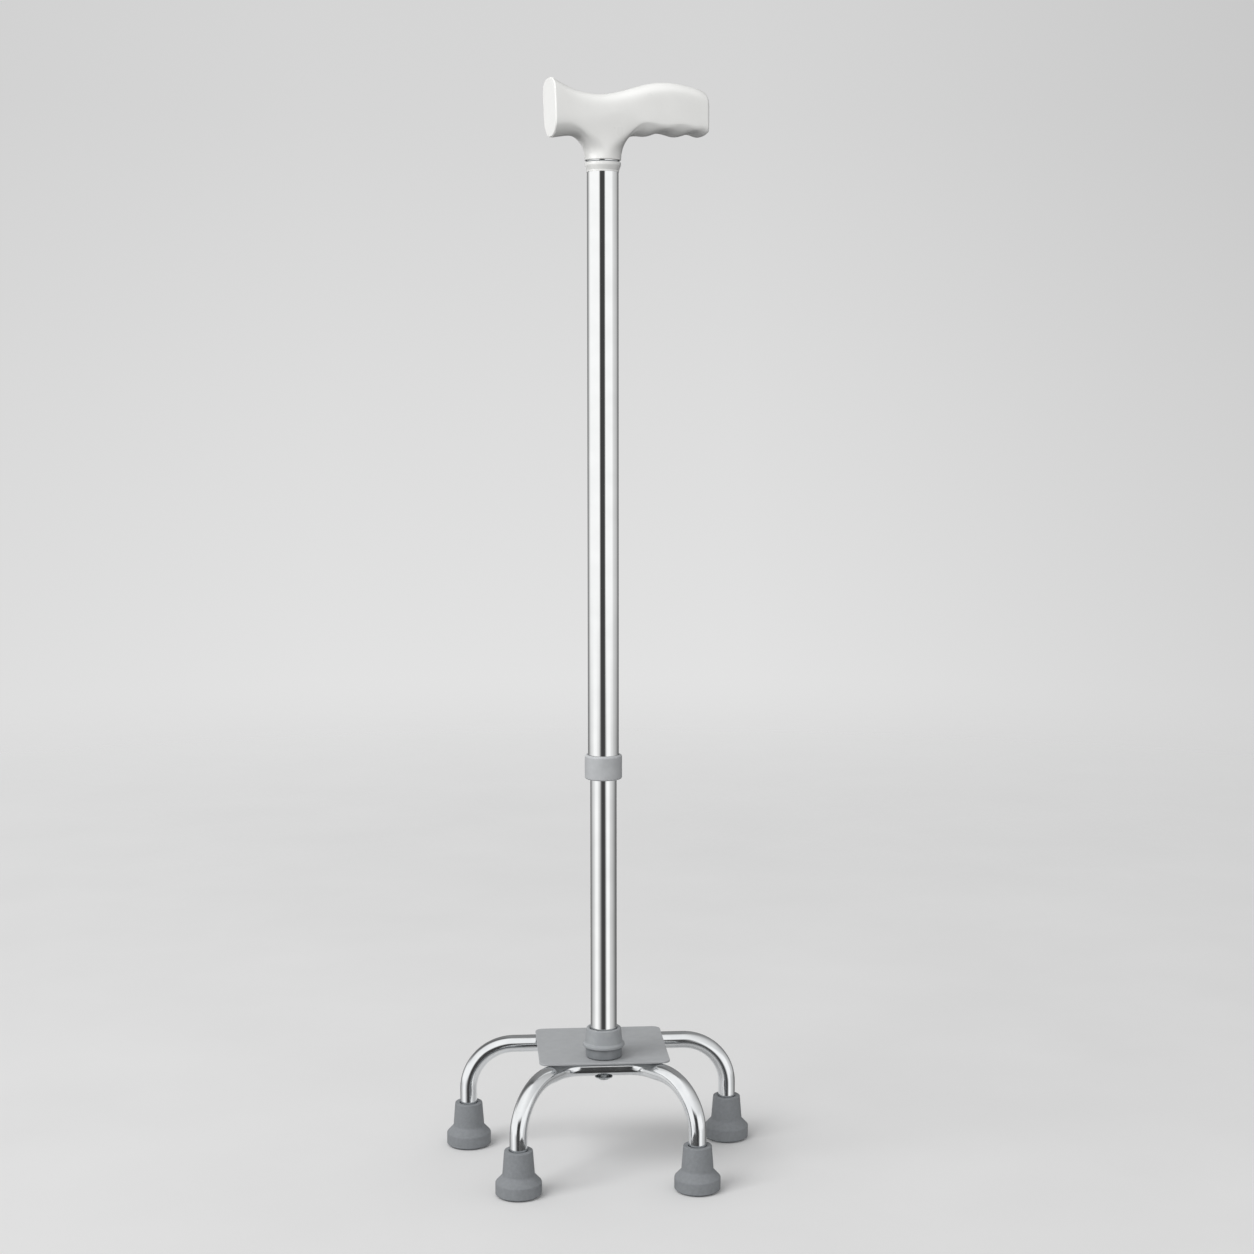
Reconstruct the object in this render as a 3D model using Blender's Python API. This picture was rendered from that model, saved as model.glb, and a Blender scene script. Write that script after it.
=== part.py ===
"""Quad cane: a height-adjustable walking stick on a four-footed base.

Lengths are metres. The origin is on the floor, in the middle of the four feet. +X runs to the right,
-Y to the front, where the two closer feet stand, and +Z up. The stem stands a little ahead of the middle.
"""

import math

import bmesh
import bpy
from mathutils import Matrix, Vector

MM = 0.001

# Clearances
GAP = 0.3 * MM  # between pieces that touch, are pressed together or are screwed together
RUNNING_GAP = 0.2 * MM  # round the lower tube where the middle collar slides on it
BUTTON_PLAY = 0.4 * MM  # round the snap button in its holes
TUBE_PLAY = 0.385 * MM  # between the lower tube and the upper tube's bore

# Leg tubes and where the feet stand
FRONT_FEET_APART = 128 * MM
REAR_FEET_APART = 197 * MM
FOOT_ROWS_APART = 108 * MM
STEM_AHEAD = 8 * MM  # of the middle of the feet
LEG_TUBE_OD = 12.7 * MM
LEG_TUBE_WALL = 1.5 * MM
LEG_AXIS_HEIGHT = 77.2 * MM
REAR_BEND_RADIUS = 34 * MM
FRONT_BEND_RADIUS = 36 * MM  # where a front leg turns down
SPREAD_BEND_RADIUS = 22 * MM  # where a front leg leaves the straight middle of its tube
SPREAD_BEND_AT = 27 * MM  # from the stem's axis to that corner

# Ferrules
FERRULE_RADIUS = 16.6 * MM
FERRULE_SIDE = 9.5 * MM  # height of the upright side of the foot
FERRULE_SHOULDER = 14.8 * MM  # height where the shoulder meets the cone
FERRULE_HEIGHT = 32.7 * MM
FERRULE_FLOOR = 6 * MM  # rubber under the tube
FERRULE_WALL_LOW = 5.0 * MM  # round the tube at the foot of the cone
FERRULE_WALL_TOP = 3.6 * MM  # and at its rim
FERRULE_EDGE_ROUND = 1.0 * MM
FERRULE_SHOULDER_ROUND = 3.0 * MM
TREAD_DEPTH = 1.4 * MM
TREAD_GROOVE = (8.0 * MM, 11.5 * MM)  # inner and outer radius
FOOT_DISC_THICKNESS = 1.5 * MM

# Base plate
PLATE_WIDTH = 95 * MM
PLATE_AHEAD_OF_STEM = 17.0 * MM
PLATE_BEHIND_TUBE = 9.3 * MM  # past the rear tube's axis
PLATE_THICKNESS = 1.6 * MM
PLATE_CORNER_RADIUS = 6 * MM
PLATE_EDGE_ROUND = 0.4 * MM
WELD_REACH = 3.0 * MM  # of a weld bead out from the side of the tube
WELD_TOP_ANGLE = math.radians(67)  # where a bead meets the plate, up round the tube
WELD_LOW_ANGLE = math.radians(14)  # its lower edge on the tube
WELD_TIP_LOW_ANGLE = math.radians(38)  # the same where the bead tapers out
REAR_WELD_AT = 34 * MM
REAR_WELD_LENGTH = 18 * MM
FRONT_WELD_AT = 11 * MM
FRONT_WELD_LENGTH = 9 * MM

# Bolt and what it clamps
BOLT_RADIUS = 3 * MM
BOLT_HEAD_RADIUS = 4.8 * MM
BOLT_HEAD_HEIGHT = 1.6 * MM
BOLT_SOCKET_RADIUS = 2.0 * MM
BOLT_SOCKET_DEPTH = 1.0 * MM
WASHER_RADIUS = 6.5 * MM
WASHER_THICKNESS = 0.8 * MM
SEAT_FLOOR = 2 * MM  # of the seat ring, under the lower tube
SEAT_WALL = 3.4 * MM
SEAT_HEIGHT = 7.5 * MM
FOOT_PLUG_LENGTH = 22 * MM
PLUG_PIN_RADIUS = 1.5 * MM
PLUG_PIN_UP = 15 * MM  # above the lower tube's bottom end
BOLT_TIP_UP = 11.5 * MM  # above the same end

# Base socket
SOCKET_HEIGHT = 13.6 * MM
SOCKET_LIP_WALL = 5.4 * MM
SOCKET_FOOT_WALL = 3.9 * MM  # just above the lip
SOCKET_TOP_WALL = 2.7 * MM
SOCKET_LIP_HEIGHT = 2 * MM
SOCKET_MOUTH = 0.9 * MM  # funnel round the tube at the top

# Stem tubes
LOWER_TUBE_OD = 19.05 * MM
LOWER_TUBE_WALL = 1.2 * MM
UPPER_TUBE_WALL = 1.2 * MM
UPPER_TUBE_LENGTH = 461 * MM
EXPOSED_LOWER_TUBE = 184.1 * MM  # between the socket and the middle collar, at the height shown
STEM_TURN = math.radians(15)  # the stem and handle, about the stem's axis, on the base

# Height setting
HOLE_PITCH = 25.4 * MM
HOLE_COUNT = 7
HOLES_BELOW_BUTTON = 4  # at the height shown
LOWEST_HOLE_UP = 36 * MM  # above the upper tube's bottom end
BUTTON_RADIUS = 3.2 * MM
BUTTON_PROUD = 2.8 * MM  # of the upper tube
BUTTON_FLANGE_RADIUS = 4.1 * MM
BUTTON_FLANGE_THICKNESS = 0.6 * MM
BUTTON_BELOW_TOP = 30 * MM  # below the lower tube's top end
SPRING_THICKNESS = 0.6 * MM
SPRING_WIDTH = 7 * MM
SPRING_BELOW_BUTTON = 42 * MM
SPRING_ABOVE_BUTTON = 6 * MM
SPRING_FOOT = 6 * MM  # width of the V's foot
SPRING_KNEE_RADIUS = 10 * MM  # below the button

# Guide bush on the lower tube's top end
BUSH_PLAY = 0.25 * MM
BUSH_FLANGE = 3 * MM
BUSH_SPIGOT = 10 * MM
BUSH_BORE_RADIUS = 5.5 * MM

# Middle collar
COLLAR_HEIGHT = 17.6 * MM
COLLAR_WALL = 2.0 * MM
COLLAR_LEDGE = 3.5 * MM  # under the upper tube's end
COLLAR_TOP_ROUND = 1.8 * MM
COLLAR_FOOT_ROUND = 1.2 * MM

# Neck ring, handle plug and handle rivet
NECK_JOINT = 0.6 * MM  # the open line between ring and neck
NECK_RING_HEIGHT = 7.4 * MM
NECK_RING_ROUND = 1.5 * MM
NECK_WALL = 1.35 * MM
TUBE_IN_NECK = 27 * MM
PLUG_FLANGE = 2 * MM
PLUG_SPIGOT = 24 * MM
RIVET_UP = 12 * MM  # above the neck's end
RIVET_RADIUS = 1.6 * MM
RIVET_HEAD_RADIUS = 3.1 * MM
RIVET_HEAD_HEIGHT = 0.9 * MM
RIVET_SINK = 0.5 * MM  # of the head's seat below the neck's side
RIVET_LENGTH = 8 * MM

# Handle, along the grip from the stem's axis, and up from the neck's end
THUMB_END = -39 * MM
HEEL_END = 75 * MM
SADDLE_AT = -6 * MM
SADDLE_HEIGHT = 44.6 * MM
THUMB_RISE = 10.1 * MM  # of the top, from the saddle to the thumb end
CREST_AT = 50 * MM
CREST_RISE = 9.9 * MM
HEEL_DROP = 5.6 * MM
THUMB_UNDERSIDE = 18.0 * MM
THUMB_TIP_DROP = 3.0 * MM
FINGER_UNDERSIDE = 20.4 * MM
FINGER_PITCH = 20.3 * MM
FINGER_DEPTH = 2.5 * MM
FIRST_BUMP_AT = 32 * MM
GRIP_WIDTH = 27.5 * MM
GRIP_CORNER = 10.5 * MM  # radius of the section's corners
PALM_SWELL = 1.5 * MM
THUMB_RIM = 2.2 * MM  # radius of the edge round the thumb end
HEEL_RIM = 4.5 * MM
FLARE_AT = 17.5 * MM  # where the neck's flare leaves the grip, from the stem's axis
NECK_DROP = 9 * MM  # of the section's lower end over the neck, where its sides run straight down
MOUTH_CORNER_ACROSS = 8.3 * MM  # where the flare's edge crosses the underside, from the middle plane
MOUTH_DROP = 0.9 * MM  # of that edge below the underside
FLARE_FOOT_UP = 8.5 * MM  # where the flare has become the neck, above the neck's end
FLARE_FOOT_WIDER = 1.2 * MM  # than the neck, along the grip

# Facets
STEM_SIDES = 24
LEG_SIDES = 16
FOOT_SIDES = 20
SMALL_SIDES = 12
BEND_STEPS = 7  # in a bend of a leg tube

# Sizes that follow from those
LOWER_RADIUS = LOWER_TUBE_OD / 2
LOWER_BORE = LOWER_RADIUS - LOWER_TUBE_WALL
UPPER_BORE = LOWER_RADIUS + TUBE_PLAY
UPPER_RADIUS = UPPER_BORE + UPPER_TUBE_WALL
LEG_RADIUS = LEG_TUBE_OD / 2
BOLT_HOLE_RADIUS = BOLT_RADIUS + GAP

FRONT_ROW_Y = -FOOT_ROWS_APART / 2
REAR_ROW_Y = FOOT_ROWS_APART / 2
STEM_Y = -STEM_AHEAD

PLATE_UNDERSIDE = LEG_AXIS_HEIGHT + LEG_RADIUS + GAP
PLATE_TOP = PLATE_UNDERSIDE + PLATE_THICKNESS
LEG_END = FERRULE_FLOOR + GAP + FOOT_DISC_THICKNESS + GAP
SEAT_BOTTOM = PLATE_TOP + GAP
LOWER_TUBE_BOTTOM = SEAT_BOTTOM + SEAT_FLOOR + GAP
SOCKET_BOTTOM = SEAT_BOTTOM + SEAT_HEIGHT + GAP
SOCKET_TOP = SOCKET_BOTTOM + SOCKET_HEIGHT
WASHER_TOP = LEG_AXIS_HEIGHT - LEG_RADIUS - GAP
BOLT_HEAD_TOP = WASHER_TOP - WASHER_THICKNESS - GAP

COLLAR_BOTTOM = SOCKET_TOP + EXPOSED_LOWER_TUBE
UPPER_TUBE_BOTTOM = COLLAR_BOTTOM + COLLAR_LEDGE + GAP
UPPER_TUBE_TOP = UPPER_TUBE_BOTTOM + UPPER_TUBE_LENGTH
LOWEST_HOLE = UPPER_TUBE_BOTTOM + LOWEST_HOLE_UP
BUTTON_HEIGHT = LOWEST_HOLE + HOLES_BELOW_BUTTON * HOLE_PITCH
LOWER_TUBE_TOP = BUTTON_HEIGHT + BUTTON_BELOW_TOP
NECK_END = UPPER_TUBE_TOP - TUBE_IN_NECK
NECK_BORE = UPPER_RADIUS + GAP
NECK_RADIUS = NECK_BORE + NECK_WALL
RIVET_HEIGHT = NECK_END + RIVET_UP


def clear_scene():
    for item in list(bpy.data.objects):
        bpy.data.objects.remove(item, do_unlink=True)


def material(name, colour, roughness, metallic=0.0, coat=0.0):
    """A Principled material. The colour is linear."""
    made = bpy.data.materials.new(name)
    made.use_nodes = True
    shader = made.node_tree.nodes["Principled BSDF"]
    shader.inputs["Base Color"].default_value = (*colour, 1.0)
    shader.inputs["Roughness"].default_value = roughness
    shader.inputs["Metallic"].default_value = metallic
    shader.inputs["Coat Weight"].default_value = coat
    return made


def empty(name, location, turn=0.0, parent=None):
    made = bpy.data.objects.new(name, None)
    made.location = location
    made.rotation_euler = (0, 0, turn)
    made.parent = parent
    bpy.context.collection.objects.link(made)
    return made


def add_object(name, bm, finish, parent=None, location=(0, 0, 0), rotation=(0, 0, 0), smooth=True):
    """The bmesh as an object with its faces pointing out, smooth up to 35 degree edges or flat throughout."""
    bmesh.ops.recalc_face_normals(bm, faces=bm.faces)
    mesh = bpy.data.meshes.new(name)
    bm.to_mesh(mesh)
    bm.free()
    if smooth:
        mesh.shade_smooth()
        mesh.set_sharp_from_angle(angle=math.radians(35))
    made = bpy.data.objects.new(name, mesh)
    made.location = location
    made.rotation_euler = rotation
    made.parent = parent
    if finish is not None:
        mesh.materials.append(finish)
    bpy.context.collection.objects.link(made)
    return made


def rounded_path(corners, radii, steps=4):
    """The corner points as vectors, with each corner that has a radius turned into an arc."""
    corners = [Vector(c) for c in corners]
    path = [corners[0]]
    for before, corner, after, radius in zip(corners, corners[1:], corners[2:], radii):
        back = (before - corner).normalized()
        on = (after - corner).normalized()
        turn = math.pi - back.angle(on)
        if radius <= 0:
            path.append(corner)
            continue
        tangent = radius * math.tan(turn / 2)
        start = corner + back * tangent
        centre = corner + (back + on).normalized() * math.hypot(radius, tangent)
        spoke = start - centre
        axis = (-back).cross(on).normalized()
        for step in range(steps + 1):
            path.append(centre + Matrix.Rotation(turn * step / steps, 3, axis) @ spoke)
    path.append(corners[-1])
    return path


def turned(profile, sides):
    """A closed outline of (radius, height) points turned once about Z."""
    bm = bmesh.new()
    points = [bm.verts.new((radius, 0, height)) for radius, height in profile]
    edges = [bm.edges.new(pair) for pair in zip(points, points[1:] + points[:1])]
    bmesh.ops.spin(
        bm,
        geom=points + edges,
        cent=(0, 0, 0),
        axis=(0, 0, 1),
        angle=math.tau,
        steps=sides,
        use_merge=True,
    )
    bmesh.ops.remove_doubles(bm, verts=bm.verts, dist=1e-6)
    flat = [edge for edge in bm.edges if not edge.link_faces]
    bmesh.ops.delete(bm, geom=flat, context="EDGES")
    return bm


def turned_rounded(corners, radii, sides, steps=2):
    """turned(), with the outline's corners rounded by their radii. The first and last stay sharp."""
    path = rounded_path([(radius, 0, height) for radius, height in corners], radii, steps)
    return turned([(point.x, point.z) for point in path], sides)


def circle(radius, sides):
    """Section points across a path: how far along its first and its second cross direction."""
    turns = [math.tau * i / sides for i in range(sides)]
    return [(radius * math.cos(turn), radius * math.sin(turn)) for turn in turns]


def sweep_rings(bm, path, section, first_cross):
    """A ring of vertices for each point of the path, with the section kept from twisting along it."""
    rings = []
    cross = Vector(first_cross)
    for i, point in enumerate(path):
        ahead = path[min(i + 1, len(path) - 1)] - point
        behind = point - path[max(i - 1, 0)]
        along = (ahead.normalized() + behind.normalized()).normalized()
        cross = (cross - along * cross.dot(along)).normalized()
        other = along.cross(cross)
        rings.append([bm.verts.new(point + cross * a + other * b) for a, b in section])
    return rings


def skin(bm, rings):
    """Quads between each ring and the next."""
    for one, two in zip(rings, rings[1:]):
        for i in range(len(one)):
            j = (i + 1) % len(one)
            bm.faces.new((one[i], one[j], two[j], two[i]))


def cap_between(bm, outer, inner):
    """The flat ring that closes a tube's end. The outer ring has a whole multiple of the inner's points."""
    each = len(outer) // len(inner)
    for i in range(len(inner)):
        rim = [outer[(i * each + k) % len(outer)] for k in range(each + 1)]
        bm.faces.new(rim + [inner[(i + 1) % len(inner)], inner[i]])


def leg_tube(path):
    """An open-ended tube that follows the path, with a bore of fewer sides than its outside."""
    bm = bmesh.new()
    outer = sweep_rings(bm, path, circle(LEG_RADIUS, LEG_SIDES), (0, 1, 0))
    inner = sweep_rings(bm, path, circle(LEG_RADIUS - LEG_TUBE_WALL, LEG_SIDES // 2), (0, 1, 0))
    skin(bm, outer)
    skin(bm, inner)
    cap_between(bm, outer[0], inner[0])
    cap_between(bm, outer[-1], inner[-1])
    return bm


def straight_tube(radius, bore, bottom, top, sides=STEM_SIDES):
    return turned([(bore, bottom), (radius, bottom), (radius, top), (bore, top)], sides)


def cutter(name, bm, parent=None, location=(0, 0, 0), rotation=(0, 0, 0)):
    made = add_object(name, bm, None, parent, location, rotation)
    made.hide_render = True
    made.display_type = "WIRE"
    return made


def drill(name, target, radius, start, end, parent=None, sides=SMALL_SIDES):
    """Cuts a round hole in the target, from start to end in the parent's frame."""
    start, end = Vector(start), Vector(end)
    length = (end - start).length
    turn = (end - start).to_track_quat("Z", "Y").to_euler()
    rod = turned([(0, 0), (radius, 0), (radius, length), (0, length)], sides)
    tool = cutter(name, rod, parent, start, turn)
    cut = target.modifiers.new(name, "BOOLEAN")
    cut.operation = "DIFFERENCE"
    cut.solver = "EXACT"
    cut.object = tool


def leg_path(corners, radii):
    """A leg tube's path from its left foot to its right one, mirrored from its left half's corners."""
    left = [Vector(c) for c in corners]
    right = [Vector((-c.x, c.y, c.z)) for c in reversed(left)]
    return rounded_path(left + right, radii + radii[::-1], BEND_STEPS)


def make_rear_leg_tube(finish):
    foot_x = -REAR_FEET_APART / 2
    corners = [(foot_x, REAR_ROW_Y, LEG_END), (foot_x, REAR_ROW_Y, LEG_AXIS_HEIGHT)]
    path = leg_path(corners, [REAR_BEND_RADIUS])
    add_object("rear_leg_tube", leg_tube(path), finish)


def make_front_leg_tube(finish):
    """The front tube runs straight under the stem, then each end turns out and forward, and last down."""
    foot_x = -FRONT_FEET_APART / 2
    corners = [
        (foot_x, FRONT_ROW_Y, LEG_END),
        (foot_x, FRONT_ROW_Y, LEG_AXIS_HEIGHT),
        (-SPREAD_BEND_AT, STEM_Y, LEG_AXIS_HEIGHT),
    ]
    path = leg_path(corners, [FRONT_BEND_RADIUS, SPREAD_BEND_RADIUS])
    tube = add_object("front_leg_tube", leg_tube(path), finish)
    low = (0, STEM_Y, LEG_AXIS_HEIGHT - 2 * LEG_RADIUS)
    high = (0, STEM_Y, LEG_AXIS_HEIGHT + 2 * LEG_RADIUS)
    drill("front_tube_bolt_hole", tube, BOLT_HOLE_RADIUS, low, high)


def foot_places():
    """Name and place of each foot."""
    for row, y, apart in (("front", FRONT_ROW_Y, FRONT_FEET_APART), ("rear", REAR_ROW_Y, REAR_FEET_APART)):
        for side, sign in (("left", -1), ("right", 1)):
            yield f"{row}_{side}", (sign * apart / 2, y, 0)


def ferrule():
    """A rubber foot: sole with a ring groove, upright side, shoulder, and a cone round the tube."""
    bore = LEG_RADIUS + GAP
    corners = [
        (0, 0),
        (TREAD_GROOVE[0], 0),
        (TREAD_GROOVE[0] + TREAD_DEPTH / 3, TREAD_DEPTH),
        (TREAD_GROOVE[1] - TREAD_DEPTH / 3, TREAD_DEPTH),
        (TREAD_GROOVE[1], 0),
        (FERRULE_RADIUS, 0),
        (FERRULE_RADIUS, FERRULE_SIDE),
        (bore + FERRULE_WALL_LOW, FERRULE_SHOULDER),
        (bore + FERRULE_WALL_TOP, FERRULE_HEIGHT),
        (bore, FERRULE_HEIGHT),
        (bore, FERRULE_FLOOR),
        (0, FERRULE_FLOOR),
    ]
    radii = [0, 0, 0, 0, FERRULE_EDGE_ROUND, FERRULE_SHOULDER_ROUND, 0, FERRULE_EDGE_ROUND, 0, 0]
    return turned_rounded(corners, radii, FOOT_SIDES, 2)


def make_feet(rubber, steel):
    for name, place in foot_places():
        add_object(f"ferrule_{name}", ferrule(), rubber, location=place)
        low = FERRULE_FLOOR + GAP
        high = low + FOOT_DISC_THICKNESS
        disc = turned([(0, low), (LEG_RADIUS, low), (LEG_RADIUS, high), (0, high)], SMALL_SIDES)
        add_object(f"foot_disc_{name}", disc, steel, location=place)


def make_plate(finish):
    """A flat sheet with rounded corners that lies on both leg tubes."""
    half = PLATE_WIDTH / 2
    front = STEM_Y - PLATE_AHEAD_OF_STEM
    back = REAR_ROW_Y + PLATE_BEHIND_TUBE
    corners = [(half, front, 0), (half, back, 0), (-half, back, 0), (-half, front, 0)]
    middle = (0, front, 0)
    outline = rounded_path([middle, *corners, middle], [PLATE_CORNER_RADIUS] * 4)[:-1]
    bm = bmesh.new()
    low = [bm.verts.new((p.x, p.y, PLATE_UNDERSIDE)) for p in outline]
    high = [bm.verts.new((p.x, p.y, PLATE_TOP)) for p in outline]
    bm.faces.new(low)
    bm.faces.new(high)
    skin(bm, [low, high])
    rims = [edge for edge in bm.edges if len(edge.link_faces[0].verts) != len(edge.link_faces[1].verts)]
    bmesh.ops.bevel(bm, geom=rims, offset=PLATE_EDGE_ROUND, segments=1, affect="EDGES")
    plate = add_object("base_plate", bm, finish, smooth=False)
    drill("plate_bolt_hole", plate, BOLT_HOLE_RADIUS, (0, STEM_Y, PLATE_UNDERSIDE - PLATE_THICKNESS),
          (0, STEM_Y, PLATE_TOP + PLATE_THICKNESS))


def weld_section(lowest, reach):
    """Half a bead's corner, from an angle on the tube up to the plate, reaching out along the plate."""
    near = LEG_RADIUS + GAP
    angles = [lowest + (WELD_TOP_ANGLE - lowest) * i / 4 for i in range(5)]
    section = [(near * math.cos(a), near * math.sin(a)) for a in angles]
    foot_y, foot_z = section[0]
    section.append((foot_y + reach, LEG_RADIUS))
    section.append((foot_y + reach * 0.75, (foot_z + LEG_RADIUS) / 2))
    return section


def weld_bead(length, side):
    """A fillet weld along X in the corner between a tube and the plate, behind (side 1) or ahead (-1)."""
    full = weld_section(WELD_LOW_ANGLE, WELD_REACH)
    slim = weld_section(WELD_TIP_LOW_ANGLE, WELD_REACH / 3)
    end, shoulder = length / 2, length * 0.3
    stations = [(-end, slim), (-shoulder, full), (shoulder, full), (end, slim)]
    bm = bmesh.new()
    rings = [[bm.verts.new((x, side * y, z)) for y, z in section] for x, section in stations]
    skin(bm, rings)
    bm.faces.new(rings[0])
    bm.faces.new(rings[-1])
    return bm


def make_welds(finish):
    for side, sign in (("left", -1), ("right", 1)):
        add_object(f"weld_rear_{side}", weld_bead(REAR_WELD_LENGTH, -1), finish,
                   location=(sign * REAR_WELD_AT, REAR_ROW_Y, LEG_AXIS_HEIGHT))
        add_object(f"weld_front_{side}", weld_bead(FRONT_WELD_LENGTH, 1), finish,
                   location=(sign * FRONT_WELD_AT, STEM_Y, LEG_AXIS_HEIGHT))


def make_bolt(stem, steel):
    """The low round-headed bolt from below, with a six-sided socket in its head, and its washer."""
    tip = LOWER_TUBE_BOTTOM + BOLT_TIP_UP
    top = BOLT_HEAD_TOP
    low = top - BOLT_HEAD_HEIGHT
    corners = [
        (0, low),
        (BOLT_HEAD_RADIUS * 0.7, low),
        (BOLT_HEAD_RADIUS, top),
        (BOLT_RADIUS, top),
        (BOLT_RADIUS, tip),
        (0, tip),
    ]
    bm = turned_rounded(corners, [1.5 * MM, 0, 0, 0.5 * MM], FOOT_SIDES)
    bolt = add_object("base_bolt", bm, steel, stem)
    drill("bolt_head_socket", bolt, BOLT_SOCKET_RADIUS, (0, 0, low - BOLT_SOCKET_DEPTH),
          (0, 0, low + BOLT_SOCKET_DEPTH), stem, 6)
    washer_bottom = WASHER_TOP - WASHER_THICKNESS
    washer = straight_tube(WASHER_RADIUS, BOLT_HOLE_RADIUS, washer_bottom, WASHER_TOP, FOOT_SIDES)
    add_object("bolt_washer", washer, steel, stem)


def make_foot_plug(stem, steel):
    """The threaded plug in the lower tube's foot, pinned across, and the pin."""
    radius = LOWER_BORE - GAP
    plug = straight_tube(radius, BOLT_HOLE_RADIUS, LOWER_TUBE_BOTTOM, LOWER_TUBE_BOTTOM + FOOT_PLUG_LENGTH)
    plug = add_object("foot_plug", plug, steel, stem)
    height = LOWER_TUBE_BOTTOM + PLUG_PIN_UP
    reach = LOWER_RADIUS * 2
    drill("plug_pin_hole", plug, PLUG_PIN_RADIUS + GAP, (-reach, 0, height), (reach, 0, height), stem)
    end = LOWER_RADIUS
    pin = turned([(0, -end), (PLUG_PIN_RADIUS, -end), (PLUG_PIN_RADIUS, end), (0, end)], SMALL_SIDES)
    add_object("plug_pin", pin, steel, stem, (0, 0, height), (0, math.radians(90), 0))


def make_seat_and_socket(stem, plastic):
    bore = LOWER_RADIUS + GAP
    outer = bore + SEAT_WALL
    top = SEAT_BOTTOM + SEAT_HEIGHT
    floor = SEAT_BOTTOM + SEAT_FLOOR
    corners = [
        (BOLT_HOLE_RADIUS, SEAT_BOTTOM),
        (outer, SEAT_BOTTOM),
        (outer, top),
        (bore, top),
        (bore, floor),
        (BOLT_HOLE_RADIUS, floor),
    ]
    add_object("seat_ring", turned_rounded(corners, [1.0 * MM, 0, 0, 0], STEM_SIDES), plastic, stem)

    low, high = SOCKET_BOTTOM, SOCKET_TOP
    corners = [
        (bore, low),
        (bore + SOCKET_LIP_WALL, low),
        (bore + SOCKET_LIP_WALL, low + SOCKET_LIP_HEIGHT),
        (bore + SOCKET_FOOT_WALL, low + 1.6 * SOCKET_LIP_HEIGHT),
        (bore + SOCKET_TOP_WALL, high),
        (bore + SOCKET_MOUTH, high),
        (bore, high - SOCKET_MOUTH),
    ]
    radii = [0, 0.8 * MM, 1.5 * MM, 1.0 * MM, 0]
    add_object("base_socket", turned_rounded(corners, radii, STEM_SIDES), plastic, stem)


def make_lower_tube(stem, aluminium):
    """The inner tube, with the button's hole on its back and the pin's holes at its foot."""
    bm = straight_tube(LOWER_RADIUS, LOWER_BORE, LOWER_TUBE_BOTTOM, LOWER_TUBE_TOP)
    tube = add_object("lower_tube", bm, aluminium, stem)
    drill("lower_tube_button_hole", tube, BUTTON_RADIUS + BUTTON_PLAY, (0, 0, BUTTON_HEIGHT),
          (0, 2 * LOWER_RADIUS, BUTTON_HEIGHT), stem)
    height = LOWER_TUBE_BOTTOM + PLUG_PIN_UP
    reach = 2 * LOWER_RADIUS
    drill("lower_tube_pin_holes", tube, PLUG_PIN_RADIUS + GAP, (-reach, 0, height), (reach, 0, height), stem)


def make_guide_bush(stem, nylon):
    """The plastic bush on the lower tube's top end: its flange guides the tube in the upper one."""
    top = LOWER_TUBE_TOP + GAP
    flange = UPPER_BORE - BUSH_PLAY
    spigot = LOWER_BORE - GAP
    corners = [
        (BUSH_BORE_RADIUS, top - BUSH_SPIGOT),
        (spigot, top - BUSH_SPIGOT),
        (spigot, top),
        (flange, top),
        (flange, top + BUSH_FLANGE),
        (BUSH_BORE_RADIUS, top + BUSH_FLANGE),
    ]
    add_object("guide_bush", turned_rounded(corners, [0, 0, 0, 0.6 * MM], STEM_SIDES, 1), nylon, stem)


def make_snap_spring(stem, spring_steel):
    """A V of leaf spring: one leg lies on the tube's front wall, the other carries the button at the back."""
    reach = math.sqrt((LOWER_BORE - GAP) ** 2 - (SPRING_WIDTH / 2) ** 2)
    front_y = -reach + SPRING_THICKNESS
    back_y = spring_back_y() - SPRING_THICKNESS / 2
    low = BUTTON_HEIGHT - SPRING_BELOW_BUTTON
    high = BUTTON_HEIGHT + SPRING_ABOVE_BUTTON
    foot = SPRING_FOOT / 2
    corners = [
        (0, front_y, high),
        (0, -foot, low),
        (0, foot, low),
        (0, back_y, BUTTON_HEIGHT - 2 * BUTTON_RADIUS),
        (0, back_y, high),
    ]
    path = rounded_path(corners, [foot * 0.8, foot * 0.8, SPRING_KNEE_RADIUS], 4)
    half_t, half_w = SPRING_THICKNESS / 2, SPRING_WIDTH / 2
    section = [(half_w, half_t), (half_w, -half_t), (-half_w, -half_t), (-half_w, half_t)]
    bm = bmesh.new()
    rings = sweep_rings(bm, path, section, (1, 0, 0))
    skin(bm, rings)
    bm.faces.new(rings[0])
    bm.faces.new(rings[-1])
    add_object("snap_spring", bm, spring_steel, stem)


def button_flange_y():
    """Outer face of the button's flange: just inside the lower tube's bore, across the flange's width."""
    return math.sqrt(LOWER_BORE**2 - BUTTON_FLANGE_RADIUS**2) - GAP


def spring_back_y():
    """Outer face of the spring's leg behind that flange."""
    return button_flange_y() - BUTTON_FLANGE_THICKNESS - GAP


def make_snap_button(stem, steel):
    """The button: a flange inside the lower tube and a domed shank out of its back, through both holes."""
    flange = button_flange_y()
    inner = flange - BUTTON_FLANGE_THICKNESS
    outer = UPPER_RADIUS + BUTTON_PROUD
    corners = [
        (0, inner),
        (BUTTON_FLANGE_RADIUS, inner),
        (BUTTON_FLANGE_RADIUS, flange),
        (BUTTON_RADIUS, flange),
        (BUTTON_RADIUS, outer),
        (0, outer),
    ]
    bm = turned_rounded(corners, [0, 0, 0, 0.75 * BUTTON_RADIUS], SMALL_SIDES, 4)
    add_object("snap_button", bm, steel, stem, (0, 0, BUTTON_HEIGHT), (math.radians(-90), 0, 0))


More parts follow.
